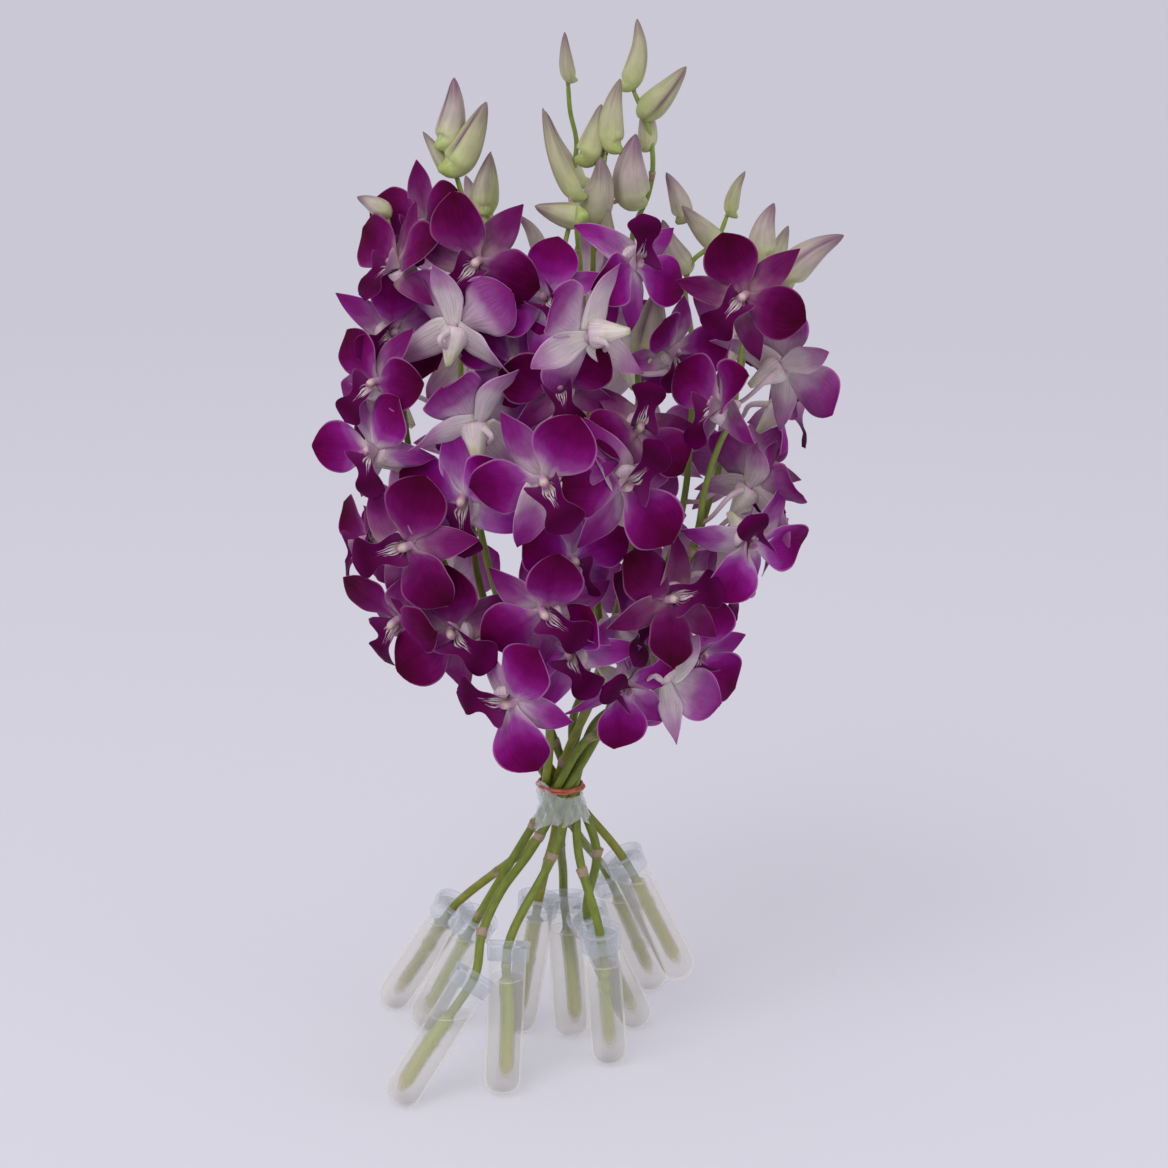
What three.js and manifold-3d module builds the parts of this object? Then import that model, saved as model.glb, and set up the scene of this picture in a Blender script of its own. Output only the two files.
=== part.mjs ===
// A tied bunch of ten cut dendrobium orchid sprays, each standing in its own
// small water tube, drawn in millimetres with +Z up. The bunch stands on the
// rounded ends of the splayed tubes, and its origin is the middle of the
// floor it covers.
import * as THREE from 'three';
import { mergeVertices } from 'three/addons/utils/BufferGeometryUtils.js';
import Module from 'manifold-3d';

// Driving dimensions of the water tubes
const TUBE_RADIUS = 9;
const TUBE_WALL = 1;
const TUBE_LENGTH = 75;
const TUBE_SIDES = 8;
const FLOOR_CUT = 0.4;
const CAP_RADIUS = 11;
const CAP_HEIGHT = 10;
const CAP_RIM = 3.5;
const MEMBRANE_DEPTH = 2.5;
const MEMBRANE_THICKNESS = 1.2;
const GAP = 0.3;

// Driving dimensions of the stems, the tie and the flowers
const STEM_RADIUS = 2.2;
const STEM_TOP_RADIUS = 1.1;
const STEM_SIDES = 4;
const PATH_STEPS = 16;
const TIE_HEIGHT = 136;
const RING_RADIUS = 7.6;
const TWIST_SLOPE = 0.6;
const TWIST_REACH = 29;
const BAND_THICKNESS = 2.2;
const BAND_HEIGHT = 2.6;
const FILM_THICKNESS = 0.7;
const FILM_TOP = 133.5;
const FILM_BOTTOM = 121;
const BLADE = 0.8;
const SEPAL_LENGTH = 35;
const SEPAL_WIDTH = 16;
const PETAL_LENGTH = 35;
const PETAL_WIDTH = 31;
const LIP_LENGTH = 29;
const LIP_WIDTH = 20;
const PETAL_ANGLE = 62;
const LATERAL_ANGLE = 122;
const PEDICEL_RADIUS = 1.1;
const CLEARANCE = 0.35;

// Colours of the sub-parts
const COLOURS = {
  tube: 0xdfe3e6,
  cap: 0xe6e9ee,
  water: 0xd8e4e2,
  spray: 0x8a0f86,
  band: 0xc4553a,
  film: 0xd9dde0,
};

// Each tube: the middle of its rounded end on the floor, the middle of its
// mouth, how far its end hangs above the floor, and its water line.
const TUBES = [
  { name: '01', foot: [-86, 47], mouth: [-50, 30, 69], lift: 0, water: 53 },
  { name: '02', foot: [-68, 20], mouth: [-37, 2, 76], lift: 0, water: 55 },
  { name: '03', foot: [-75, -76], mouth: [-39, -54, 62], lift: 0, water: 42 },
  { name: '04', foot: [-28, -61], mouth: [-25, -38, 73], lift: 0, water: 54 },
  { name: '05', foot: [-21, 17], mouth: [-10, 16, 78], lift: 0, water: 62 },
  { name: '06', foot: [5, 9], mouth: [1, 40, 68], lift: 0, water: 50 },
  { name: '07', foot: [24, -24], mouth: [19, -32, 76], lift: 0, water: 55 },
  { name: '08', foot: [37, 22], mouth: [12, 7, 69], lift: 0, water: 50 },
  { name: '09', foot: [46, 73], mouth: [23, 62, 70], lift: 0, water: 54 },
  { name: '10', foot: [58, 15], mouth: [28, 10, 102], lift: 30, water: 84 },
];

// Each spray: the tube it stands in, its place in the ring at the tie as an
// angle, any points it bends through below the tie, and its rachis above.
// A bloom is x, y, z, azimuth, pitch, angle of its top sepal, size, and how
// far its petals close forward. A bud is its base, its tip and its width.
const SPRAYS = [
  {
    name: 'spray_front_left', tube: 0, ring: 188, below: [],
    rachis: [[-6, -34, 202], [-9, -46, 245], [-11, -50, 284], [-10, -50, 327],
      [-7, -46, 369], [0, -40, 401], [6, -34, 425]],
    blooms: [
      [-6, -95, 313, 0, 0, 125, 1, 8], [-7, -70, 246, 10, -10, 140, 0.95, 15],
      [-22, -75, 204, -35, -5, 0, 1, 15],
      [-20, -45, 359, -15, 5, 90, 0.85, 20], [6, -58, 267, 20, 0, 96, 0.85, 20],
      [-5, -52, 389, -20, 20, 141, 0.85, 22],
    ],
    buds: [[10, -36, 424, -11, -40, 430, 12], [7, -33, 432, -8, -36, 474, 9]],
  },
  {
    name: 'spray_centre', tube: 4, inner: -1, below: [[-7, 11, 92], [-3, 4, 110], [-2, 1, 122]],
    rachis: [[5, -5, 160], [15, -14, 185], [20, -18, 207], [18, -22, 238], [17, -24, 268],
      [17, -24, 307], [17, -24, 336], [16, -22, 374], [16, -20, 407], [18, -16, 429],
      [22, -12, 452]],
    blooms: [
      [29, -75, 308, 30, 0, 235, 1, 18], [15, -72, 376, -140, 10, 190, 1, 12],
      [6, -60, 223, -15, -5, 128, 0.9, 18], [30, -44, 202, 30, -20, 320, 0.9, 20],
      [31, -48, 233, 60, 10, 40, 0.9, 20], [1, -58, 350, -5, 5, 100, 0.85, 25],
    ],
    buds: [[15, -18, 420, 21, -24, 450, 16], [21, -16, 408, 22, -24, 432, 10],
      [14, -10, 447, 19, -8, 473, 13], [23, -12, 454, 28, -10, 485, 12],
      [33, -10, 428, 35, -16, 460, 17]],
  },
  {
    name: 'spray_left', tube: 8, ring: 132, below: [],
    rachis: [[-23, -22, 204], [-36, -30, 240], [-41, -32, 270], [-40, -32, 314],
      [-38, -30, 352], [-34, -28, 375], [-39, -24, 402], [-44, -20, 428], [-49, -18, 446],
      [-51, -18, 456]],
    blooms: [
      [-62, -12, 417, -35, 10, 100, 0.85, 22], [-37, -50, 406, -15, 0, 45, 0.95, 14],
      [-48, -56, 376, 150, 25, 90, 1, 14], [-37, -62, 332, -150, 25, 70, 1, 12],
      [-43, -62, 297, -20, -5, 100, 1, 16], [-49, -62, 234, -8, -5, 155, 1, 14],
    ],
    buds: [[-51, -18, 456, -48, -16, 486, 13], [-48, -20, 444, -34, -24, 476, 15],
      [-51, -16, 442, -63, -14, 461, 7], [-39, -20, 426, -31, -18, 452, 8]],
  },
  {
    name: 'spray_right_front', tube: 1, ring: 245, below: [],
    rachis: [[21, -18, 171], [35, -28, 201], [46, -36, 231], [59, -42, 260], [65, -44, 278],
      [68, -46, 298], [74, -46, 318], [81, -46, 335], [83, -44, 354], [86, -40, 370],
      [90, -32, 390], [92, -26, 402]],
    blooms: [
      [84, -66, 393, -15, 0, 43, 0.9, 12], [103, -36, 354, 145, 20, 30, 0.95, 10],
      [75, -60, 341, -60, 15, 100, 0.9, 20], [89, -34, 296, 130, 20, 60, 0.9, 16],
      [88, -44, 273, 30, -15, 298, 0.9, 16], [51, -58, 249, 30, 10, 200, 0.95, 18],
    ],
    buds: [[93, -25, 404, 99, -22, 429, 13], [104, -27, 396, 131, -30, 416, 15]],
  },
  {
    name: 'spray_far_left', tube: 9, ring: 90, below: 'none',
    rachis: [[-37, -16, 213], [-54, -28, 255], [-67, -32, 295], [-73, -32, 333],
      [-75, -28, 370], [-77, -22, 402], [-80, -18, 423]],
    blooms: [
      [-74, -34, 401, -50, 30, 90, 0.9, 22], [-78, -34, 371, 15, 0, 20, 0.85, 15],
      [-84, -50, 349, -35, 10, 62, 0.85, 18], [-85, -54, 319, -35, 0, 120, 0.9, 16],
      [-90, -26, 268, -75, 0, 90, 0.85, 18], [-70, -68, 277, -25, 0, 10, 1, 14],
      [-75, -50, 236, -50, -20, 60, 0.9, 20],
    ],
    buds: [[-80, -18, 424, -94, -16, 431, 9]],
  },
  {
    name: 'spray_middle', tube: 5, inner: 1, below: [[1, 32, 80], [0, 15, 102], [2, 3, 120]],
    rachis: [[8, 4, 162], [19, 8, 194], [30, 10, 234], [36, 12, 274], [38, 12, 314],
      [37, 12, 353], [35, 10, 387], [35, 8, 411], [42, 6, 429], [44, 4, 443], [42, 2, 460],
      [34, 0, 480]],
    blooms: [
      [34, -40, 404, 35, 10, 265, 0.9, 16], [36, -60, 330, 20, 25, -110, 0.85, 20],
      [52, -22, 359, 40, 0, 60, 0.8, 25],
      [44, 40, 300, 160, 0, 90, 0.85, 14],
    ],
    buds: [[34, 0, 480, 38, 2, 511, 10], [40, 2, 467, 59, -6, 490, 13],
      [42, 4, 452, 40, 12, 474, 9], [41, -22, 356, 46, -24, 389, 17]],
  },
  {
    name: 'spray_right', tube: 2, ring: 285, below: [[-38, -41, 75], [-29, -25, 91]],
    rachis: [[28, 8, 184], [44, 14, 223], [56, 16, 258], [61, 16, 283], [63, 16, 308],
      [64, 16, 333], [63, 14, 362], [60, 12, 382], [63, 10, 396], [74, 8, 406],
      [80, 8, 420]],
    blooms: [
      [66, -12, 208, 40, 0, 10, 0.85, 16], [50, -34, 203, 150, -20, -75, 0.9, 16],
      [78, 22, 236, 110, -10, 80, 0.85, 16],
      [94, 2, 286, 85, 0, 80, 0.9, 14],
    ],
    buds: [[80, 8, 420, 87, 6, 440, 7], [59, 12, 392, 48, 6, 416, 12],
      [75, 10, 404, 58, 2, 424, 11], [60, 8, 418, 50, 6, 439, 10]],
  },
  {
    name: 'spray_back_left', tube: 7, ring: 45, below: [],
    rachis: [[-15, 29, 181], [-30, 38, 218], [-40, 43, 257], [-46, 45, 297], [-49, 45, 338],
      [-46, 42, 374], [-39, 36, 401], [-34, 30, 418]],
    blooms: [
      [-60, 58, 222, 195, -10, 90, 0.95, 14], [-72, 46, 262, 235, 0, 120, 0.95, 14],
      [-38, 76, 292, 175, 0, 60, 1, 12], [-82, 30, 326, 255, 5, 90, 1, 14],
      [-46, 74, 342, 190, 5, 100, 1, 12], [-50, 52, 384, 205, 15, 80, 0.9, 18],
    ],
    buds: [[-34, 30, 418, -33, 28, 446, 9], [-36, 34, 410, -46, 44, 432, 11]],
  },
  {
    name: 'spray_back', tube: 6, ring: 5, below: [],
    rachis: [[12, 35, 179], [15, 47, 216], [16, 52, 255], [15, 53, 296], [13, 51, 337],
      [11, 47, 373], [8, 40, 410], [7, 34, 436], [8, 29, 451], [5, 24, 466], [4, 20, 481]],
    blooms: [
      [6, 68, 214, 180, -10, 80, 0.95, 14], [30, 76, 256, 165, 0, 110, 1, 12],
      [-2, 84, 318, 185, 5, 70, 1, 12], [34, 76, 336, 160, 5, 120, 1, 12],
      [14, 66, 374, 180, 10, 90, 0.95, 14],
    ],
    buds: [[4, 20, 481, 3, 16, 504, 7], [8, 38, 428, -8, 32, 464, 11], [-8, 34, 396, -19, 30, 416, 8]],
  },
  {
    name: 'spray_right_back', tube: 3, ring: 325, below: [],
    rachis: [[35, 29, 176], [54, 41, 213], [70, 47, 257], [81, 47, 297], [88, 44, 333],
      [94, 39, 365], [102, 33, 384]],
    blooms: [
      [58, 62, 220, 160, -10, 90, 0.95, 14], [98, 40, 262, 105, 0, 60, 0.95, 14],
      [90, 74, 282, 165, 0, 110, 0.9, 12], [106, 28, 322, 95, 5, 90, 0.9, 14],
      [90, 64, 352, 150, 12, 80, 0.95, 14],
    ],
    buds: [[102, 33, 384, 110, 31, 410, 11], [98, 37, 376, 88, 36, 402, 9]],
  },
];

const wasm = await Module();
wasm.setup();

const DEGREE = Math.PI / 180;
const vector = (x, y, z) => new THREE.Vector3(x, y, z);

// Turn a closed three.js geometry into a solid that can be joined and cut.
function toSolid(geometry) {
  const bare = geometry.clone();
  bare.deleteAttribute('normal');
  bare.deleteAttribute('uv');
  const merged = mergeVertices(bare, 1e-4);
  const mesh = new wasm.Mesh({
    numProp: 3,
    vertProperties: Float32Array.from(merged.attributes.position.array),
    triVerts: Uint32Array.from(merged.index.array),
  });
  return new wasm.Manifold(mesh);
}

// Turn a solid back into a three.js geometry.
function toGeometry(solid) {
  const mesh = solid.getMesh();
  const geometry = new THREE.BufferGeometry();
  geometry.setAttribute('position', new THREE.BufferAttribute(mesh.vertProperties, 3));
  geometry.setIndex(new THREE.BufferAttribute(mesh.triVerts, 1));
  geometry.computeVertexNormals();
  return geometry;
}

// Join a list of solids into one.
function joinAll(solids) {
  return solids.reduce((whole, solid) => whole.add(solid));
}

// The largest body of a solid: scraps that a cut leaves loose are dropped.
function largestBody(solid) {
  const bodies = solid.decompose();
  return bodies.reduce((best, body) => (body.volume() > best.volume() ? body : best));
}

// A closed solid from points and triangles given directly.
function fromTriangles(points, triangles) {
  const mesh = new wasm.Mesh({
    numProp: 3,
    vertProperties: Float32Array.from(points.flatMap((p) => [p.x, p.y, p.z])),
    triVerts: Uint32Array.from(triangles.flat()),
  });
  return new wasm.Manifold(mesh);
}

// A round bar along a row of points, with its own radius at each point.
function bar(points, radii, sides) {
  const vertices = [];
  const triangles = [];
  let across = null;
  points.forEach((point, i) => {
    const before = points[Math.max(i - 1, 0)];
    const after = points[Math.min(i + 1, points.length - 1)];
    const along = after.clone().sub(before).normalize();
    if (across === null) {
      across = Math.abs(along.x) < 0.9 ? vector(1, 0, 0) : vector(0, 1, 0);
    }
    across = across.clone().addScaledVector(along, -across.dot(along)).normalize();
    const up = along.clone().cross(across);
    for (let k = 0; k < sides; k += 1) {
      const turn = (2 * Math.PI * k) / sides;
      const rim = point.clone().addScaledVector(across, radii[i] * Math.cos(turn));
      vertices.push(rim.addScaledVector(up, radii[i] * Math.sin(turn)));
    }
  });
  for (let i = 0; i < points.length - 1; i += 1) {
    for (let k = 0; k < sides; k += 1) {
      const a = i * sides + k;
      const b = i * sides + ((k + 1) % sides);
      triangles.push([a, b, b + sides], [a, b + sides, a + sides]);
    }
  }
  const last = (points.length - 1) * sides;
  for (let k = 1; k < sides - 1; k += 1) {
    triangles.push([0, k + 1, k], [last, last + k, last + k + 1]);
  }
  return fromTriangles(vertices, triangles);
}

// A thin blade: strips of front triangles, thickened backwards along w.
function blade(outline, faces, place, thickness) {
  const count = outline.length;
  const front = outline.map(([u, v, w]) => place(u, v, w + thickness / 2));
  const back = outline.map(([u, v, w]) => place(u, v, w - thickness / 2));
  const triangles = [];
  faces.forEach(([a, b, c]) => {
    triangles.push([a, b, c], [c + count, b + count, a + count]);
  });
  for (let i = 0; i < count; i += 1) {
    const j = (i + 1) % count;
    triangles.push([j, i, i + count], [j, i + count, j + count]);
  }
  return fromTriangles(front.concat(back), triangles);
}

// A point of a lobe that leaves the flower's middle at an angle.
function lobePoint(angle, reach, side, rise) {
  const across = vector(Math.cos(angle), Math.sin(angle), 0);
  return [
    across.x * reach - across.y * side,
    across.y * reach + across.x * side,
    rise,
  ];
}

// A whole flower as one sheet: three pointed sepals, two broad petals that
// close forward, and the lip, which stands forward between two sepals.
function flowerSheet(place, size, close, grow) {
  const rise = Math.sin(close * DEGREE);
  const sepalHalf = (SEPAL_WIDTH / 2) * size + grow;
  const sepal = SEPAL_LENGTH * size + grow;
  const petalHalf = (PETAL_WIDTH / 2) * size + grow;
  const petal = PETAL_LENGTH * size + grow;
  const lipHalf = (LIP_WIDTH / 2) * size + grow;
  const lip = LIP_LENGTH * size + grow;
  const outline = [];
  const faces = [];
  const valleys = [];
  const valley = (degrees, reach) => {
    valleys.push(outline.length);
    outline.push(lobePoint(degrees * DEGREE, reach * size + grow, 0, 0));
  };
  // A lobe's rows are reach, half width and rise, and end in one tip.
  const lobe = (degrees, rows, tip) => {
    const angle = degrees * DEGREE;
    const first = outline.length - 1;
    rows.forEach(([reach, half, lift]) => outline.push(lobePoint(angle, reach, -half, lift)));
    outline.push(lobePoint(angle, tip[0], 0, tip[1]));
    [...rows].reverse().forEach(([reach, half, lift]) => {
      outline.push(lobePoint(angle, reach, half, lift));
    });
    const last = outline.length;
    let low = first;
    let high = last;
    while (high - low > 2) {
      faces.push([low, low + 1, high - 1], [low, high - 1, high]);
      low += 1;
      high -= 1;
    }
    faces.push([low, low + 1, high]);
  };
  const sepalRows = [[sepal * 0.5, sepalHalf * 0.95, 0.4]];
  const sepalTip = [sepal, -3];
  const petalRows = [[petal * 0.4, petalHalf * 0.59, petal * 0.4 * rise + 1],
    [petal * 0.78, petalHalf * 0.93, petal * 0.74 * rise + 1]];
  const petalTip = [petal, petal * 0.85 * rise];
  const lipRows = [[lip * 0.3, lipHalf * 0.5, 7 * size], [lip * 0.78, lipHalf, 7 * size]];
  const lipTip = [lip, 4 * size];
  valley(90 - PETAL_ANGLE / 2, 5);
  lobe(90, sepalRows, sepalTip);
  valley(90 + PETAL_ANGLE / 2, 5);
  lobe(90 + PETAL_ANGLE, petalRows, petalTip);
  valley(90 + (PETAL_ANGLE + LATERAL_ANGLE) / 2, 5);
  lobe(90 + LATERAL_ANGLE, sepalRows, sepalTip);
  valley(250, 4);
  lobe(270, lipRows, lipTip);
  valley(290, 4);
  lobe(90 - LATERAL_ANGLE, sepalRows, sepalTip);
  valley(90 - (PETAL_ANGLE + LATERAL_ANGLE) / 2, 5);
  lobe(90 - PETAL_ANGLE, petalRows, petalTip);
  const count = outline.length;
  for (let k = 1; k < valleys.length - 1; k += 1) {
    faces.push([valleys[0], valleys[k], valleys[k + 1]]);
  }
  const closed = faces.map((face) => face.map((index) => index % count));
  return blade(outline, closed, place, BLADE + 2 * grow);
}

// The flower's own frame: out of its face, up its top sepal, and sideways.
function flowerFrame([x, y, z, azimuth, pitch, top]) {
  const turn = azimuth * DEGREE;
  const lean = pitch * DEGREE;
  const face = vector(Math.sin(turn) * Math.cos(lean), -Math.cos(turn) * Math.cos(lean),
    Math.sin(lean));
  const up = vector(Math.cos(top * DEGREE), 0, Math.sin(top * DEGREE));
  up.addScaledVector(face, -up.dot(face)).normalize();
  const side = up.clone().cross(face);
  const centre = vector(x, y, z);
  const place = (u, v, w) => centre.clone().addScaledVector(side, u)
    .addScaledVector(up, v).addScaledVector(face, w);
  return { centre, face, up, side, place };
}

// Where a flower's stalk leaves the spray's main stem.
function stalkFoot(path, frame) {
  const wanted = frame.centre.clone().addScaledVector(frame.face, -16);
  wanted.z -= 12;
  return path.reduce((best, point) => (
    point.distanceTo(wanted) < best.distanceTo(wanted) ? point : best));
}

// One bloom: thin blades, and the spur and stalk that carry them.
function bloom(numbers, path, grow) {
  const size = numbers[6];
  const close = numbers[7];
  const frame = flowerFrame(numbers);
  const { place } = frame;
  const foot = stalkFoot(path, frame);
  const spur = place(0, -4 * size, -9 * size);
  const stalk = bar([place(0, 0, 0), spur, foot],
    [2.2 * size, 3 * size, PEDICEL_RADIUS].map((r) => r + grow), 3);
  return {
    core: [stalk],
    blades: [flowerSheet(place, size, close, grow)],
  };
}

// One bud: a plump spindle on its own stalk, with a blunt foot.
function bud([bx, by, bz, tx, ty, tz, width], path, grow) {
  const base = vector(bx, by, bz);
  const tip = vector(tx, ty, tz);
  const along = tip.clone().sub(base);
  const half = width / 2;
  const foot = path.reduce((best, point) => (
    point.distanceTo(base) < best.distanceTo(base) ? point : best));
  const steps = [[0, 0.35], [0.35, 1], [1, 0.1]];
  const solids = [bar(steps.map(([t]) => base.clone().addScaledVector(along, t)),
    steps.map(([, r]) => half * r + grow), 4)];
  if (foot.distanceTo(base) > 1.5) {
    solids.push(bar([base.clone().addScaledVector(along, 0.1), foot],
      [PEDICEL_RADIUS + grow, PEDICEL_RADIUS + grow], 3));
  }
  return solids;
}

// A stem's place in the twisted sheaf of stems near the tie.
function twistPoint(angle, height) {
  const ring = angle * DEGREE;
  const slide = (height - TIE_HEIGHT) * TWIST_SLOPE;
  return vector(RING_RADIUS * Math.cos(ring) - slide * Math.sin(ring),
    RING_RADIUS * Math.sin(ring) + slide * Math.cos(ring), height);
}

// A tube's axis, from the centre of its round end to its mouth.
function tubeAxis({ foot, mouth, lift }) {
  const low = vector(foot[0], foot[1], lift + TUBE_RADIUS - FLOOR_CUT);
  const along = vector(...mouth).sub(low).normalize();
  const top = low.clone().addScaledVector(along, TUBE_LENGTH - TUBE_RADIUS);
  return { low, along, top };
}

// The path of a whole stem, from inside its tube to its tip.
function stemPath(spray) {
  const { low, along, top } = tubeAxis(TUBES[spray.tube]);
  const points = [low.clone().addScaledVector(along, -2), low.clone().addScaledVector(along, 30),
    top.clone().addScaledVector(along, -2)];
  if (spray.inner !== undefined) {
    points.push(...spray.below.map((p) => vector(...p)));
    points.push(vector(2.4 * spray.inner, 0, TIE_HEIGHT));
  } else {
    if (spray.below !== 'none') {
      points.push(...spray.below.map((p) => vector(...p)));
      points.push(twistPoint(spray.ring, TIE_HEIGHT - TWIST_REACH));
    }
    points.push(twistPoint(spray.ring, TIE_HEIGHT));
    points.push(twistPoint(spray.ring, TIE_HEIGHT + TWIST_REACH));
  }
  points.push(...spray.rachis.map((p) => vector(...p)));
  return points;
}

// Many points along a path, to find the one nearest to something.
function alongPath(points) {
  const fine = [];
  for (let i = 0; i < points.length - 1; i += 1) {
    for (let k = 0; k < PATH_STEPS; k += 1) {
      fine.push(points[i].clone().lerp(points[i + 1], k / PATH_STEPS));
    }
  }
  fine.push(points[points.length - 1]);
  return fine;
}

// The stem's radius narrows from the tie to the tip.
function stemRadii(points, grow) {
  const top = points[points.length - 1].z;
  return points.map((point) => {
    const climb = THREE.MathUtils.clamp((point.z - TIE_HEIGHT) / (top - TIE_HEIGHT), 0, 1);
    return STEM_RADIUS + (STEM_TOP_RADIUS - STEM_RADIUS) * climb + grow;
  });
}

// A whole spray, as its firm core and its thin blades.
function sprayParts(spray, grow) {
  const path = stemPath(spray);
  const fine = alongPath(path).filter((point) => point.z > TIE_HEIGHT + TWIST_REACH);
  const core = [bar(path, stemRadii(path, grow), STEM_SIDES)];
  const blades = [];
  spray.blooms.forEach((numbers) => {
    const flower = bloom(numbers, fine, grow);
    core.push(...flower.core);
    blades.push(...flower.blades);
  });
  spray.buds.forEach((numbers) => {
    core.push(...bud(numbers, fine, grow));
  });
  return { core: joinAll(core), blades: joinAll(blades) };
}

// All sprays: what would cross another spray is cut clear of it.
function makeSprays() {
  const thin = SPRAYS.map((spray) => sprayParts(spray, 0));
  const fat = SPRAYS.map((spray) => sprayParts(spray, CLEARANCE));
  return SPRAYS.map((spray, i) => {
    let core = thin[i].core;
    let blades = thin[i].blades;
    fat.forEach((other, j) => {
      if (j < i) {
        core = core.subtract(other.core);
        blades = blades.subtract(other.blades).subtract(thin[j].blades);
      }
      if (j !== i) {
        blades = blades.subtract(other.core);
      }
    });
    return { name: spray.name, solid: largestBody(core.add(blades)) };
  });
}

// The floor as a deep block, for cutting the small flats under the tubes.
function floorBlock() {
  return toSolid(new THREE.BoxGeometry(600, 600, 100).translate(0, 0, -50));
}

// A solid of revolution on a tube's axis; its profile is radius and height
// from the centre of the round end.
function turned(profile, axis) {
  const points = profile.map(([r, h]) => new THREE.Vector2(r, h));
  const geometry = new THREE.LatheGeometry(points, TUBE_SIDES);
  geometry.rotateX(Math.PI / 2);
  const turn = new THREE.Quaternion().setFromUnitVectors(vector(0, 0, 1), axis.along);
  geometry.applyQuaternion(turn);
  geometry.translate(axis.low.x, axis.low.y, axis.low.z);
  return toSolid(geometry);
}

// Half of a round end, from its lowest point to its side.
function roundEnd(radius, steps) {
  const points = [];
  for (let i = 0; i <= steps; i += 1) {
    const angle = (Math.PI / 2) * (i / steps);
    points.push([i === 0 ? 0 : radius * Math.sin(angle), -radius * Math.cos(angle)]);
  }
  return points;
}

// A clear tube, open at its mouth, round and thicker at its end.
function makeTube(axis, touchesFloor) {
  const height = TUBE_LENGTH - TUBE_RADIUS - MEMBRANE_DEPTH - MEMBRANE_THICKNESS - GAP;
  const inner = roundEnd(TUBE_RADIUS - TUBE_WALL, 2).map(([r, h]) => [r, h + 0.6]);
  const profile = [...roundEnd(TUBE_RADIUS, 3), [TUBE_RADIUS, height],
    [TUBE_RADIUS - TUBE_WALL, height], ...inner.reverse()];
  const tube = turned(profile, axis);
  return touchesFloor ? tube.subtract(floorBlock()) : tube;
}

// The cap: a rolled rim, a tapered skirt and a sunk lid with a hole.
function makeCap(axis) {
  const top = TUBE_LENGTH - TUBE_RADIUS;
  const lid = top - MEMBRANE_DEPTH;
  const hole = STEM_RADIUS + 1;
  const bore = TUBE_RADIUS + GAP;
  const profile = [
    [hole, lid], [hole, lid - MEMBRANE_THICKNESS], [bore, lid - MEMBRANE_THICKNESS],
    [bore, top - CAP_HEIGHT], [bore + 0.8, top - CAP_HEIGHT], [CAP_RADIUS, top - CAP_RIM],
    [CAP_RADIUS, top], [bore, top], [bore - 0.4, lid], [hole, lid],
  ];
  return turned(profile, axis);
}

// The water: the tube's inside below a level surface, with a plain hole
// for the stem.
function makeWater(axis, level, stem) {
  const radius = TUBE_RADIUS - TUBE_WALL - GAP;
  const body = roundEnd(radius, 2).map(([r, h]) => [r, h + 0.6]);
  const profile = [...body, [radius, TUBE_LENGTH - TUBE_RADIUS - 6],
    [0, TUBE_LENGTH - TUBE_RADIUS - 6]];
  const air = toSolid(new THREE.BoxGeometry(600, 600, 200).translate(0, 0, level + 100));
  return largestBody(turned(profile, axis).subtract(air).subtract(stem));
}

// How far the stems reach from the tie's axis in one direction at a height.
function sheafReach(angle, height) {
  const reaches = SPRAYS.map((spray) => {
    const near = alongPath(stemPath(spray)).reduce((best, point) => (
      Math.abs(point.z - height) < Math.abs(best.z - height) ? point : best));
    return near.x * Math.cos(angle) + near.y * Math.sin(angle);
  });
  return Math.max(...reaches) + STEM_RADIUS + 0.8;
}

// A flat-sided sleeve round the stems, given as rings of inner reach.
function sleeve(heights, thickness, sides) {
  const outer = [];
  heights.forEach((height) => {
    const ring = [];
    for (let k = 0; k < sides; k += 1) {
      const angle = (2 * Math.PI * k) / sides;
      const reach = sheafReach(angle, height) / Math.cos(Math.PI / sides);
      ring.push([reach * Math.cos(angle), reach * Math.sin(angle), height, angle]);
    }
    outer.push(ring);
  });
  const points = [];
  const triangles = [];
  const wall = (ring, out) => ring.forEach(([x, y, z, angle]) => {
    points.push(vector(x + out * Math.cos(angle), y + out * Math.sin(angle), z));
  });
  outer.forEach((ring) => {
    wall(ring, thickness);
  });
  [...outer].reverse().forEach((ring) => {
    wall(ring, 0);
  });
  const rings = heights.length * 2;
  for (let i = 0; i < rings; i += 1) {
    for (let k = 0; k < sides; k += 1) {
      const a = i * sides + k;
      const b = i * sides + ((k + 1) % sides);
      const c = ((i + 1) % rings) * sides + k;
      const d = ((i + 1) % rings) * sides + ((k + 1) % sides);
      triangles.push([a, b, d], [a, d, c]);
    }
  }
  return fromTriangles(points, triangles);
}

const parts = [];
const floor = TUBES.map((tube) => tubeAxis(tube));
TUBES.forEach((tube, i) => {
  const spray = SPRAYS.find((one) => one.tube === i);
  const points = stemPath(spray);
  const stem = bar(points, stemRadii(points, GAP + 0.1), STEM_SIDES);
  parts.push([`tube_${tube.name}`, makeTube(floor[i], tube.lift === 0), COLOURS.tube, 0.35]);
  parts.push([`cap_${tube.name}`, makeCap(floor[i]), COLOURS.cap, 0.4]);
  parts.push([`water_${tube.name}`, makeWater(floor[i], tube.water, stem), COLOURS.water, 0.05]);
});
makeSprays().forEach(({ name, solid }) => {
  parts.push([name, solid, COLOURS.spray, 0.5]);
});
parts.push(['rubber_band', sleeve([TIE_HEIGHT + 0.6, TIE_HEIGHT + 0.6 + BAND_HEIGHT],
  BAND_THICKNESS, 10), COLOURS.band, 0.6]);
parts.push(['clear_film', sleeve([FILM_BOTTOM, FILM_TOP], FILM_THICKNESS, 10),
  COLOURS.film, 0.2]);

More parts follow.
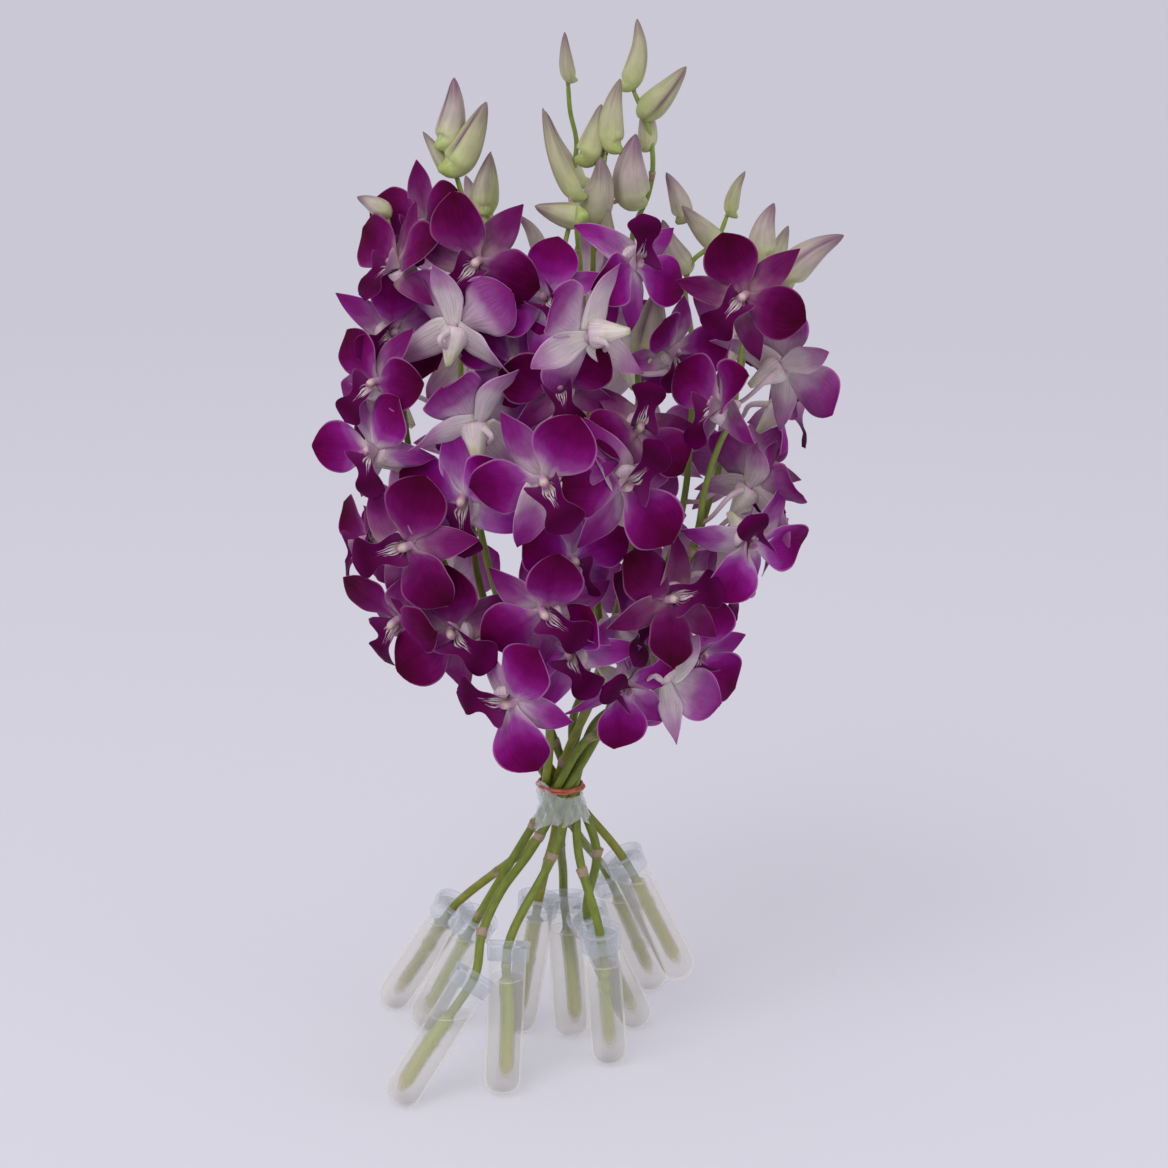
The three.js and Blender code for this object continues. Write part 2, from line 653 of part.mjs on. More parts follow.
// Stand the whole bunch over the origin.
const bunch = new THREE.Group();
parts.forEach(([name, solid, colour, roughness]) => {
  const material = new THREE.MeshStandardMaterial({ color: colour, roughness, metalness: 0 });
  const mesh = new THREE.Mesh(toGeometry(solid), material);
  mesh.name = name;
  bunch.add(mesh);
});
const middle = new THREE.Box3().setFromObject(bunch).getCenter(vector(0, 0, 0));
bunch.position.set(-middle.x, -middle.y, 0);
bunch.updateMatrixWorld(true);

export default bunch;
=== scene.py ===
import math

import bmesh
import bpy
import numpy as np
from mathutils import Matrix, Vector


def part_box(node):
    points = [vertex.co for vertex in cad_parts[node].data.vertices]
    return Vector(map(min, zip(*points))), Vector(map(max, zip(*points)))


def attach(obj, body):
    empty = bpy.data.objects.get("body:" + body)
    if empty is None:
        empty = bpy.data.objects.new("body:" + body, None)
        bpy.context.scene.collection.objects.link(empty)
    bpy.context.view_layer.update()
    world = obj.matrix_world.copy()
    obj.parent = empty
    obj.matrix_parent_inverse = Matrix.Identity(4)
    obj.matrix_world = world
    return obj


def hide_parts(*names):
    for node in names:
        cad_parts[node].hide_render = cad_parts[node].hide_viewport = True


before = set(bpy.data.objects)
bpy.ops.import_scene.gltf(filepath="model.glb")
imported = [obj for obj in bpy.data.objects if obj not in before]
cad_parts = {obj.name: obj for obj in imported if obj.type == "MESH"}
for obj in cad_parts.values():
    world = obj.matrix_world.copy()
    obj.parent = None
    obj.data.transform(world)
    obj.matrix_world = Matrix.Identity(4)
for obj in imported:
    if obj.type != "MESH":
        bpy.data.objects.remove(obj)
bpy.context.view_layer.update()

MM = 0.001

# The tie's axis stands at the middle of the rubber band's box.
BAND_LOW, BAND_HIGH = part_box("rubber_band")
SHIFT = np.array([(BAND_LOW[0] + BAND_HIGH[0]) / 2, (BAND_LOW[1] + BAND_HIGH[1]) / 2, 0.0])
UP = np.array([0.0, 0.0, 1.0])

# The camera's place, in millimetres from the foot of the tie's axis
CAMERA_PLACE = (11.6, -1545.0, 654.0)
CAMERA_PITCH = 15.0
CAMERA_LENS = 101.6
SENSOR = 36.0

# The light and the paper, in metres: a lamp's name, place, size and power
LAMPS = (("key", (-1.0, -1.7, 2.2), 1.9, 31.0), ("fill", (1.8, -1.2, 1.2), 1.6, 5.0))
AIM = (0.0, 0.0, 0.25)
SKY_COLOUR = (0.98, 0.96, 1.0, 1.0)
SKY_STRENGTH = 0.66
PAPER_COLOUR = (0.525, 0.52, 0.575)
PAPER_GLOW_COLOUR = (0.60, 0.59, 0.65)
PAPER_GLOW = 0.36
PAPER_HALF_WIDTH = 6.0
PAPER_FRONT = -4.0
PAPER_BACK = 4.5
PAPER_TOP = 8.0
PAPER_BEND = 2.5
PAPER_STEPS = 12

# The tubes and caps, in millimetres
TUBE_RADIUS = 9.0
TUBE_WALL = 1.0
TUBE_LENGTH = 75.0
TUBE_SIDES = 40
TUBE_OUTER_RINGS = 14
FLOOR_CUT = 0.4
CAP_RADIUS = 11.0
CAP_HEIGHT = 10.0
CAP_HOLE = 3.0
MEMBRANE_DEPTH = 2.5
BLUNTNESS = 0.72
MENISCUS = 0.2
MENISCUS_HAZE = 9.0
MENISCUS_SIDES = 48

# The stems and the tie, in millimetres
STEM_RADIUS = 2.2
STEM_TOP_RADIUS = 1.1
STEM_SIDES = 10
STEM_STEP = 2.0
STEM_WANDER = 1.5
WATER_WIDENS = 1.15
TIE_HEIGHT = 136.0
RING_RADIUS = 7.6
TWIST_SLOPE = 0.6
TWIST_REACH = 29.0
NODE_GAP = 58.0
NODE_WIDTH = 1.5
NODE_SWELL = 0.13
SHEATH_SHARE = 0.6
BAND_TURNS = ((136.9, 0.5, 0.0), (138.4, -0.6, 0.2), (137.6, 1.2, 1.2))
BAND_RADIUS = 0.75
BAND_STEPS = 64
FILM_SIDES = 120
FILM_ROWS = 18
FILM_HEM = 119.5
FILM_TOP = 133.8
FILM_FLAP = math.radians(222)
FILM_FLAP_RISE = 8.4
FILM_FLAP_OUT = 1.9
FILM_BLUR = 5
FILM_THICKNESS = 0.14

# The flowers, in millimetres and degrees
SEPAL_LENGTH = 35.0
SEPAL_WIDTH = 16.5
PETAL_LENGTH = 34.0
PETAL_WIDTH = 29.0
LIP_LENGTH = 29.0 * 0.97
LIP_WIDTH = 22.0
PETAL_ANGLE = 62.0
LATERAL_ANGLE = 122.0
LEAF_THICKNESS = 0.7
LEAF_FOOT = 1.5

# The seeds of the random draws
SPRAY_SEED = 100
BLOOM_SEED = 1000
BLOOM_SEED_STEP = 20
FILM_SEED = 7
ANY_ANGLE = 6.28

def rows_of(text):
    """The rows of numbers in a text."""
    return [[float(number) for number in row.split()] for row in text.split(",") if row]


# Each tube: its foot on the floor, its mouth, how far it hangs above the floor,
# and the height of its water. Commas part the tubes, as they part all rows.
TUBE_ROWS = ("-86 47 -50 30 69 0 53, -68 20 -37 2 76 0 55, -75 -76 -39 -54 62 0 42, "
             "-28 -61 -25 -38 73 0 54, -21 17 -10 16 78 0 62, 5 9 1 40 68 0 50, "
             "24 -24 19 -32 76 0 55, 37 22 12 7 69 0 50, 46 73 23 62 70 0 54, 58 15 28 10 102 30 84")
TUBES = [{"name": f"{number:02d}", "foot": row[:2], "mouth": row[2:5], "lift": row[5], "water": row[6]}
         for number, row in enumerate(rows_of(TUBE_ROWS), 1)]

# Each spray: the tube it stands in, its place in the ring at the tie as an angle
# (or on which side of the middle it stands inside the ring), any points it
# bends through below the tie, and its path above. The tie twists the stems, so
# each has points in the ring as far below and above it as its reaches say.
# A bloom is x, y, z, azimuth, pitch, angle of its top sepal, size, and how
# far its petals close forward. A bud is its base, its tip and its width.
SPRAYS = [
    {"name": "spray_front_left", "tube": 0, "ring": 188,
     "path": "-6 -34 202, -9 -46 245, -11 -50 284, -10 -50 327, -7 -46 369, 0 -40 401, 6 -34 425",
     "blooms": ("-6 -92 313 0 0 125 1 8, -7 -70 246 10 -10 140 0.95 15, -22 -75 204 -35 -5 0 1 15, "
      "-20 -45 359 -15 5 90 0.85 20, 6 -58 267 20 0 96 0.85 20, -5 -52 389 -20 20 141 0.85 22"),
     "buds": "10 -36 424 -11 -40 430 12, 7 -33 432 -8 -36 474 9"},
    {"name": "spray_centre", "tube": 4, "inner": -1, "below": "-7 11 92, -3 4 110, -2 1 122",
     "path": ("5 -5 160, 15 -14 185, 20 -18 207, 18 -22 238, 17 -24 268, 17 -24 307, 17 -24 336, "
      "16 -22 374, 16 -20 407, 18 -16 429, 22 -12 452"),
     "blooms": ("29 -75 308 30 0 235 1 18, 15 -72 376 -140 10 190 1 12, 6 -60 223 -15 -5 128 0.9 18, "
      "30 -44 202 30 -20 320 0.9 20, 31 -48 233 60 10 40 0.9 20, 1 -58 350 -5 5 100 0.85 25"),
     "buds": ("15 -18 420 21 -24 450 16, 21 -16 408 22 -24 432 10, 14 -10 447 19 -8 473 13, "
      "23 -12 454 28 -10 485 12, 33 -10 428 35 -16 460 17")},
    {"name": "spray_left", "tube": 8, "ring": 132,
     "path": ("-23 -22 204, -36 -30 240, -41 -32 270, -40 -32 314, -38 -30 352, -34 -28 375, -39 -24 402, "
      "-44 -20 428, -49 -18 446, -51 -18 456"),
     "blooms": ("-62 -12 417 -35 10 100 0.85 22, -37 -50 406 -15 0 45 0.95 14, -48 -56 376 150 25 90 1 14, "
      "-37 -62 332 -150 25 70 1 12, -43 -62 297 -20 -5 100 1 16, -49 -62 234 -8 -5 155 1 14"),
     "buds": ("-51 -18 456 -48 -16 486 13, -48 -20 444 -34 -24 476 15, -51 -16 442 -63 -14 461 7, "
      "-39 -20 426 -31 -18 452 8")},
    {"name": "spray_right_front", "tube": 1, "ring": 245,
     "path": ("21 -18 171, 35 -28 201, 46 -36 231, 59 -42 260, 65 -44 278, 68 -46 298, 74 -46 318, "
      "81 -46 335, 83 -44 354, 86 -40 370, 90 -32 390, 92 -26 402"),
     "blooms": ("84 -66 393 -15 0 43 0.9 12, 103 -36 354 145 20 30 0.95 10, 75 -60 341 -60 15 100 0.9 20, "
      "89 -34 296 130 20 60 0.9 16, 88 -44 273 30 -15 298 0.9 16, 51 -58 249 30 10 200 0.95 18"),
     "buds": "93 -25 404 99 -22 429 13, 104 -27 396 131 -30 416 15"},
    {"name": "spray_far_left", "tube": 9, "ring": 90, "reaches": (0, TWIST_REACH),
     "path": "-37 -16 213, -54 -28 255, -67 -32 295, -73 -32 333, -75 -28 370, -77 -22 402, -80 -18 423",
     "blooms": ("-74 -34 401 -50 30 90 0.9 22, -78 -34 371 15 0 20 0.85 15, -84 -50 349 -35 10 62 0.85 18, "
      "-85 -54 319 -35 0 120 0.9 16, -90 -26 268 -75 0 90 0.85 18, -70 -68 277 -25 0 10 1 14, "
      "-75 -50 236 -50 -20 60 0.9 20"),
     "buds": "-80 -18 424 -94 -16 431 9"},
    {"name": "spray_middle", "tube": 5, "inner": 1, "below": "1 32 80, 0 15 102, 2 3 120",
     "path": ("8 4 162, 19 8 194, 30 10 234, 36 12 274, 38 12 314, 37 12 353, 35 10 387, 35 8 411, "
      "42 6 429, 44 4 443, 42 2 460, 34 0 480"),
     "blooms": ("34 -40 404 35 10 265 0.9 16, 36 -60 330 20 25 -110 0.85 20, 52 -22 359 40 0 60 0.8 25, "
      "44 40 300 160 0 90 0.85 14"),
     "buds": "34 0 480 38 2 511 10, 40 2 467 59 -6 490 13, 42 4 452 40 12 474 9, 41 -22 356 46 -24 389 17"},
    {"name": "spray_right", "tube": 2, "ring": 285, "below": "-38 -41 75, -29 -25 91",
     "path": ("28 8 184, 44 14 223, 56 16 258, 61 16 283, 63 16 308, 64 16 333, 63 14 362, 60 12 382, "
      "63 10 396, 74 8 406, 80 8 420"),
     "blooms": ("66 -12 208 40 0 10 0.85 16, 50 -34 203 150 -20 -75 0.9 16, 78 22 236 110 -10 80 0.85 16, "
      "94 2 286 85 0 80 0.9 14"),
     "buds": "80 8 420 87 6 440 7, 59 12 392 48 6 416 12, 75 10 404 58 2 424 11, 60 8 418 50 6 439 10"},
    {"name": "spray_back_left", "tube": 7, "ring": 45,
     "path": ("-15 29 181, -30 38 218, -40 43 257, -46 45 297, -49 45 338, -46 42 374, -39 36 401, "
      "-34 30 418"),
     "blooms": ("-60 58 222 195 -10 90 0.95 14, -72 46 262 235 0 120 0.95 14, -38 76 292 175 0 60 1 12, "
      "-82 30 326 255 5 90 1 14, -46 74 342 190 5 100 1 12, -50 52 384 205 15 80 0.9 18"),
     "buds": "-34 30 418 -33 28 446 9, -36 34 410 -46 44 432 11"},
    {"name": "spray_back", "tube": 6, "ring": 5,
     "path": ("12 35 179, 15 47 216, 16 52 255, 15 53 296, 13 51 337, 11 47 373, 8 40 410, 7 34 436, "
      "8 29 451, 5 24 466, 4 20 481"),
     "blooms": ("6 68 214 180 -10 80 0.95 14, 30 76 256 165 0 110 1 12, -2 84 318 185 5 70 1 12, "
      "34 76 336 160 5 120 1 12, 14 66 374 180 10 90 0.95 14"),
     "buds": "4 20 481 3 16 504 7, 8 38 428 -8 32 464 11, -8 34 396 -19 30 416 8"},
    {"name": "spray_right_back", "tube": 3, "ring": 325,
     "path": "35 29 176, 54 41 213, 70 47 257, 81 47 297, 88 44 333, 94 39 365, 102 33 384",
     "blooms": ("58 62 220 160 -10 90 0.95 14, 98 40 262 105 0 60 0.95 14, 90 74 282 165 0 110 0.9 12, "
      "106 28 322 95 5 90 0.9 14, 90 64 352 150 12 80 0.95 14"),
     "buds": "102 33 384 110 31 410 11, 98 37 376 88 36 402 9"},
]

# Materials


class Value:
    """A number or colour in a material, which can be reckoned with."""

    def __init__(self, paint, output):
        self.paint = paint
        self.output = output

    def maths(self, operation, *others):
        """This and other numbers through a maths node."""
        return self.paint.fill(self.paint.node("ShaderNodeMath", operation=operation), self, *others)

    def __add__(self, other):
        return self.maths("ADD", other)

    def __sub__(self, other):
        return self.maths("SUBTRACT", other)

    def __rsub__(self, other):
        return self.maths("MULTIPLY_ADD", -1.0, other)

    def __mul__(self, other):
        return self.maths("MULTIPLY", other)

    def least(self, limit):
        """This number, but never under a limit."""
        return self.maths("MAXIMUM", limit)

    def most(self, limit):
        """This number, but never over a limit."""
        return self.maths("MINIMUM", limit)


class Paint:
    """A material in the making, with its shader."""

    def __init__(self, name, roughness, specular=0.35):
        self.material = bpy.data.materials.new(name)
        self.material.use_nodes = True
        self.tree = self.material.node_tree
        self.shader = self.tree.nodes["Principled BSDF"]
        self.set("Roughness", roughness)
        self.set("Specular IOR Level", specular)

    def node(self, kind, **settings):
        """A new node with its settings."""
        made = self.tree.nodes.new(kind)
        for key, value in settings.items():
            setattr(made, key, value)
        return made

    def put(self, value, socket):
        """Give a socket a number, a colour or a link."""
        if isinstance(value, Value):
            self.tree.links.new(value.output, socket)
        elif socket.type == "RGBA":
            socket.default_value = (*value, 1.0)
        else:
            socket.default_value = value

    def set(self, name, value):
        """Give a socket of the shader its value."""
        self.put(value, self.shader.inputs[name])

    def fill(self, node, *values):
        """A node's first output, once its first inputs have their values."""
        for socket, value in zip(node.inputs, values):
            self.put(value, socket)
        return Value(self, node.outputs[0])

    def stored(self, name):
        """The number stored on the mesh under a name."""
        return Value(self, self.node("ShaderNodeAttribute", attribute_name=name).outputs["Fac"])

    def across_along(self):
        """The place across and along a leaf, each from 0 to 1."""
        place = self.fill(self.node("ShaderNodeUVMap", uv_map="leaf"))
        split = self.node("ShaderNodeSeparateXYZ")
        self.fill(split, place)
        return Value(self, split.outputs[0]), Value(self, split.outputs[1])

    def noise(self, place, scale, detail=3.0):
        """Noise over a place, which may be given as three numbers."""
        if isinstance(place, tuple):
            place = self.fill(self.node("ShaderNodeCombineXYZ"), *place)
        made = self.node("ShaderNodeTexNoise")
        for name, value in (("Vector", place), ("Scale", scale), ("Detail", detail)):
            self.put(value, made.inputs[name])
        return Value(self, made.outputs[0])

    def ramp(self, source, stops):
        """Colours over a number; each row is a stop's place, red, green and blue."""
        stops = rows_of(stops)
        made = self.node("ShaderNodeValToRGB")
        made.color_ramp.interpolation = "EASE"
        elements = made.color_ramp.elements
        while len(elements) < len(stops):
            elements.new(0.5)
        for element, (place, *colour) in zip(elements, stops):
            element.position = place
            element.color = (*colour, 1.0)
        return self.fill(made, source)

    def mix(self, factor, first, second, blend="MIX"):
        """Two colours mixed; each may be a colour or a value."""
        made = self.node("ShaderNodeMix", data_type="RGBA", blend_type=blend)
        for slot, value in ((0, factor), (6, first), (7, second)):
            self.put(value, made.inputs[slot])
        return Value(self, made.outputs[2])

    def times(self, first, second):
        """Two colours multiplied."""
        return self.mix(1.0, first, second, "MULTIPLY")

    def facing(self, blend):
        """0 where the surface faces the eye, and towards 1 at its outline."""
        made = self.node("ShaderNodeLayerWeight")
        made.inputs[0].default_value = blend
        return Value(self, made.outputs["Facing"])

    def bump(self, height, strength, distance):
        """Fine relief on the surface."""
        made = self.node("ShaderNodeBump")
        for name, value in (("Strength", strength), ("Distance", distance), ("Height", height)):
            self.put(value, made.inputs[name])
        self.set("Normal", Value(self, made.outputs[0]))

    def blend(self, factor, *shaders):
        """The surface as a mix of two shader nodes."""
        outputs = (Value(self, shader.outputs[0]) for shader in shaders)
        made = self.fill(self.node("ShaderNodeMixShader"), factor, *outputs)
        self.put(made, self.tree.nodes["Material Output"].inputs[0])


def leaf_material(name, front, back, margin):
    """A petal or sepal: pale at its foot, veined, with a paler edge."""
    paint = Paint(name, 0.6, 0.04)
    across, along = paint.across_along()
    tone, under = paint.stored("tone"), paint.stored("back")
    seed = tone * 37.0
    own = (tone * 7.31).maths("FRACT")
    patch = paint.noise((across, along, seed), 3.0, 2.0)
    vein = paint.noise((across * 16.0, along, seed), 2.6)
    side = (across - 0.5).maths("ABSOLUTE")
    place = along + (patch - 0.5) * 0.3 + (vein - 0.5) * 0.24 - (own - 0.5) * 0.16
    colour = paint.mix(under, paint.ramp(place + (0.25 - side) * 0.36, front), paint.ramp(place, back))
    colour = paint.times(colour, paint.ramp(vein, "0.35 0.7 0.7 0.7, 0.65 1 1 1"))
    edge = ((side - 0.466) * 34.0).maths("SMOOTH_MIN", 1.0, 0.2).least(0.0) * 0.72
    colour = paint.mix(edge, colour, margin)
    shade = paint.mix(tone, (1.08, 1.08, 1.12), (0.50, 0.36, 0.36))
    paint.set("Base Color", paint.mix(1.0 - under * 0.6, colour, paint.times(colour, shade)))
    paint.set("Subsurface Weight", 0.25)
    paint.set("Subsurface Radius", (1.0, 0.35, 0.8))
    paint.set("Subsurface Scale", 0.0012)
    paint.bump(vein, 0.35, 0.0007)
    return paint.material


def lip_material():
    """The lip: a white throat, white streaks like a feather, a deep velvet tip."""
    paint = Paint("orchid_lip", 0.6, 0.04)
    across, along = paint.across_along()
    wobble = paint.noise((across * 3.0, along, paint.stored("tone") * 19.0), 5.0, 2.0)
    throat = paint.ramp(along, "0 0.66 0.58 0.48, 0.25 0.68 0.6 0.58, "
                        "0.42 0.6 0.44 0.56, 1 0.5 0.25 0.46")
    velvet = paint.ramp(along, "0 0.2 0.025 0.16, 0.4 0.09 0.001 0.055, 0.7 0.055 0 0.028, 1 0.1 0 0.062")
    streak = ((across + wobble * 0.14) * 66.0).maths("SINE")
    side = (across - 0.5).maths("ABSOLUTE")
    reach = (along + wobble * 0.3 - 0.5) * 5.5 + (side - 0.12).least(0.0) * 12.0
    dark = ((streak * 0.8 + reach + 0.7) * 1.2).least(0.0).most(1.0)
    back = paint.ramp(along, "0 0.62 0.54 0.48, 0.35 0.45 0.22 0.4, "
                      "0.7 0.18 0.006 0.14, 1 0.14 0.001 0.1")
    colour = paint.mix(paint.stored("back"), paint.mix(dark, throat, velvet), back)
    edge = (side - 0.485).least(0.0) * 26.0
    paint.set("Base Color", paint.mix(edge, colour, (0.34, 0.10, 0.31)))
    paint.bump(wobble, 0.3, 0.0008)
    return paint.material


def stalk_material():
    """A flower's stalk and spur: green at the stem, whitish at the flower."""
    paint = Paint("orchid_stalk", 0.45)
    across, along = paint.across_along()
    tone = paint.stored("tone")
    patch = paint.noise((across, along * 5.0, tone), 3.0)
    rib = paint.noise((across * 14.0, along, tone), 2.0)
    colour = paint.ramp(along + (patch - 0.5) * 0.3, "0 0.24 0.22 0.08, 0.12 0.36 0.22 0.22, "
                        "0.3 0.46 0.3 0.34, 0.5 0.6 0.44 0.5, 0.8 0.68 0.54 0.6, "
                        "0.92 0.74 0.68 0.62, 1 0.58 0.58 0.36")
    streak = paint.ramp(rib, "0.35 0.84 0.8 0.82, 0.62 1 1 1")
    paint.set("Base Color", paint.times(colour, streak))
    paint.bump(patch, 0.15, 0.0005)
    return paint.material


def column_material():
    """The column at the flower's heart: white, flushed pink."""
    paint = Paint("orchid_column", 0.4)
    across, along = paint.across_along()
    patch = paint.noise((across, along, paint.stored("tone")), 4.0)
    paint.set("Base Color", paint.ramp(
        along + (patch - 0.5) * 0.3, "0 0.58 0.38 0.5, 0.5 0.52 0.28 0.44, "
        "0.8 0.66 0.54 0.44, 1 0.4 0.12 0.32"))
    return paint.material


def bud_material():
    """A bud: cream green, mauve along its seams and towards its tip."""
    paint = Paint("orchid_bud", 0.42, 0.4)
    across, along = paint.across_along()
    tone = paint.stored("tone")
    seed = tone * 23.0
    patch = paint.noise((across, along, seed), 5.0)
    vein = paint.noise((across * 14.0, along, seed), 2.5)
    place = along + (vein - 0.5) * 0.35
    green = paint.ramp(place, "0 0.38 0.47 0.12, 0.35 0.5 0.56 0.22, 0.7 0.45 0.45 0.24, 1 0.26 0.2 0.16")
    mauve = paint.ramp(place, "0 0.44 0.52 0.18, 0.35 0.58 0.58 0.36, "
                       "0.66 0.48 0.36 0.4, 1 0.2 0.07 0.17")
    colour = paint.mix(paint.stored("mark") * 0.9, paint.mix(tone, green, mauve), (0.13, 0.015, 0.12))
    shade = paint.ramp(patch, "0.3 0.82 0.82 0.82, 0.7 1 1 1")
    paint.set("Base Color", paint.times(colour, shade))
    paint.bump(vein, 0.2, 0.0005)
    return paint.material


def stem_material():
    """A stem: olive green below, yellow green above, brown at its nodes.

    In the water it fades out towards its outline and its cut end.
    """
    paint = Paint("orchid_stem", 0.42)
    across, along = paint.across_along()
    tone, sunk = paint.stored("tone"), paint.stored("back")
    patch = paint.noise((across, along * 40.0, tone), 2.0, 4.0)
    fibre = paint.noise((across * 18.0, along * 12.0, 0.0), 2.0)
    green = paint.ramp(along, "0 0.25 0.3 0.05, 0.25 0.17 0.23 0.025, "
                       "0.6 0.17 0.22 0.025, 1 0.3 0.4 0.09")
    yellow = paint.ramp(along, "0 0.36 0.34 0.07, 0.3 0.27 0.27 0.03, "
                        "0.6 0.2 0.22 0.025, 1 0.3 0.38 0.08")
    shade = paint.ramp(patch, "0.3 0.72 0.78 0.7, 0.7 1.1 1.05 1")
    streak = paint.ramp(fibre, "0.35 0.85 0.85 0.8, 0.65 1 1 1")
    colour = paint.times(paint.times(paint.mix(tone, green, yellow), shade), streak)
    scar = paint.ramp(patch, "0.35 0.24 0.15 0.08, 0.55 0.4 0.29 0.2, 0.75 0.52 0.45 0.38")
    # Under water the stem is paler. This is partly its wet look with a brown cut end, and partly painted
    # light that brightens it where the tube's layers shade it
    wet = paint.ramp(along, "0 0.46 0.33 0.12, 0.022 0.4 0.4 0.1, "
                     "0.07 0.33 0.41 0.07, 0.14 0.36 0.42 0.09")
    wet = paint.mix(tone * 0.5, wet, (0.34, 0.25, 0.05))
    colour = paint.mix(paint.stored("mark"), colour, scar)
    paint.set("Base Color", paint.mix(sunk * 0.85, colour, wet))
    paint.bump(fibre, 0.3, 0.0006)
    fade = (paint.facing(0.5) * 1.9 + 0.03 + (1.0 - along * 55.0).least(0.0)).most(1.0)
    paint.blend(fade * sunk, paint.shader, paint.node("ShaderNodeBsdfTransparent"))
    return paint.material


def see_through(name, tint, wet, dry, haze, dry_haze, edge, roughness, painted_glow):
    """Frosted clear plastic: part of the light passes straight through.

    Only faces marked 1 are hazy, and the water's level parts wet from dry. It also glows faintly in its own
    colour: painted light that brightens it where its layers shade one another.
    """
    paint = Paint(name, roughness, 0.5)
    mark = paint.stored("mark")
    above = (paint.stored("back") * 2.5).least(0.0).most(1.0)
    colour = paint.mix(above, wet, dry)
    paint.set("Base Color", colour)
    # Painted light: the plastic glows in its own colour, which brightens it where its layers shade one
    # another
    paint.set("Emission Color", colour)
    paint.set("Emission Strength", painted_glow)
    clear = paint.node("ShaderNodeBsdfTransparent")
    paint.put(paint.mix(mark, (1.0, 1.0, 1.0), tint), clear.inputs[0])
    cover = (above * dry_haze + haze + paint.facing(0.25) * edge) * mark
    paint.blend(cover.most(1.0), clear, paint.shader)
    return paint.material


def band_material():
    """Old red rubber, slightly dusty."""
    paint = Paint("band_rubber", 0.6, 0.3)
    place = Value(paint, paint.node("ShaderNodeTexCoord").outputs["Object"])
    dust = paint.noise(place, 380.0, 2.0)
    paint.set("Base Color", paint.ramp(dust, "0.3 0.42 0.1 0.06, 0.7 0.58 0.17 0.1"))
    paint.bump(dust, 0.2, 0.0003)
    return paint.material


# Mesh making


class Builder:
    """Collects vertices, faces and what is stored on them, in millimetres."""

    def __init__(self):
        self.points, self.faces, self.slots = [], [], []
        self.places, self.numbers = [], []
        self.count = 0

    def add(self, points, faces, slot, places, tone=0.0, back=0.0, mark=0.0):
        """Add one closed piece; back and mark may be one number or many."""
        self.points.append(points)
        self.faces.extend([tuple(index + self.count for index in face) for face in faces])
        self.slots.extend([slot] * len(faces))
        self.places.append(places)
        numbers = np.empty((len(points), 3))
        for column, value in enumerate((tone, back, mark)):
            numbers[:, column] = value
        self.numbers.append(numbers)
        self.count += len(points)


def weld(mesh):
    """Join points that meet, and drop faces with no width."""
    work = bmesh.new()
    work.from_mesh(mesh)
    bmesh.ops.remove_doubles(work, verts=work.verts, dist=2e-6)
    bmesh.ops.dissolve_degenerate(work, edges=work.edges, dist=1e-7)
    bmesh.ops.recalc_face_normals(work, faces=work.faces)
    work.to_mesh(mesh)
    work.free()
    mesh.polygons.foreach_set("use_smooth", [True] * len(mesh.polygons))


def in_scene(name, data):
    """A new object in the scene."""
    made = bpy.data.objects.new(name, data)
    bpy.context.collection.objects.link(made)
    return made


def make_object(name, builder, materials, node, welded=False):
    """The collected pieces as one object in the frame, which stands for a node."""
    points = np.concatenate(builder.points) * MM + SHIFT
    mesh = bpy.data.meshes.new(name)
    mesh.from_pydata(points.tolist(), [], builder.faces)
    for material in materials:
        mesh.materials.append(material)
    mesh.polygons.foreach_set("material_index", builder.slots)
    mesh.polygons.foreach_set("use_smooth", [True] * len(builder.faces))
    corners = np.empty(len(mesh.loops), dtype=np.int32)
    mesh.loops.foreach_get("vertex_index", corners)
    layer = mesh.uv_layers.new(name="leaf")
    layer.data.foreach_set("uv", np.concatenate(builder.places)[corners].ravel())
    numbers = np.concatenate(builder.numbers)
    for column, key in enumerate(("tone", "back", "mark")):
        stored = mesh.attributes.new(key, "FLOAT", "POINT")
        stored.data.foreach_set("value", numbers[:, column].copy())
    mesh.update()
    if welded:
        weld(mesh)
    made = in_scene(name, mesh)
    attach(made, "root")
    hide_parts(node)


def unit_steps(count):
    """Even steps from 0 to 1."""
    return np.linspace(0, 1, count)


def unit(vectors):
    """Vectors in the same directions, with a length of 1."""
    return vectors / np.linalg.norm(vectors, axis=-1, keepdims=True)


def between(t, low, high, first, second):
    """The value at t on a line from first, at low, to second, at high."""
    return (high - t) / (high - low) * first + (t - low) / (high - low) * second


def spline(points, steps):
    """A smooth line through points, with some steps for each stretch."""
    points = np.asarray(points, dtype=float)
    padded = np.vstack([2 * points[0] - points[1], points, 2 * points[-1] - points[-2]])
    made = []
    for i in range(1, len(padded) - 2):
        p = padded[i - 1:i + 3]
        k = [0.0]
        for a, b in zip(p, p[1:]):
            k.append(k[-1] + max(np.linalg.norm(b - a), 1e-6) ** 0.5)
        for t in np.linspace(k[1], k[2], steps, endpoint=False):
            a = [between(t, k[n], k[n + 1], p[n], p[n + 1]) for n in range(3)]
            b = [between(t, k[n], k[n + 2], a[n], a[n + 1]) for n in range(2)]
            made.append(between(t, k[1], k[2], *b))
    made.append(points[-1])
    return np.array(made)


def even(points, spacing):
    """The same line with points at an even spacing."""
    lengths = np.concatenate([[0.0], np.cumsum(np.linalg.norm(np.diff(points, axis=0), axis=1))])
    count = max(int(lengths[-1] / spacing), 2)
    places = np.linspace(0.0, lengths[-1], count + 1)
    return np.stack([np.interp(places, lengths, points[:, k]) for k in range(3)], axis=1)


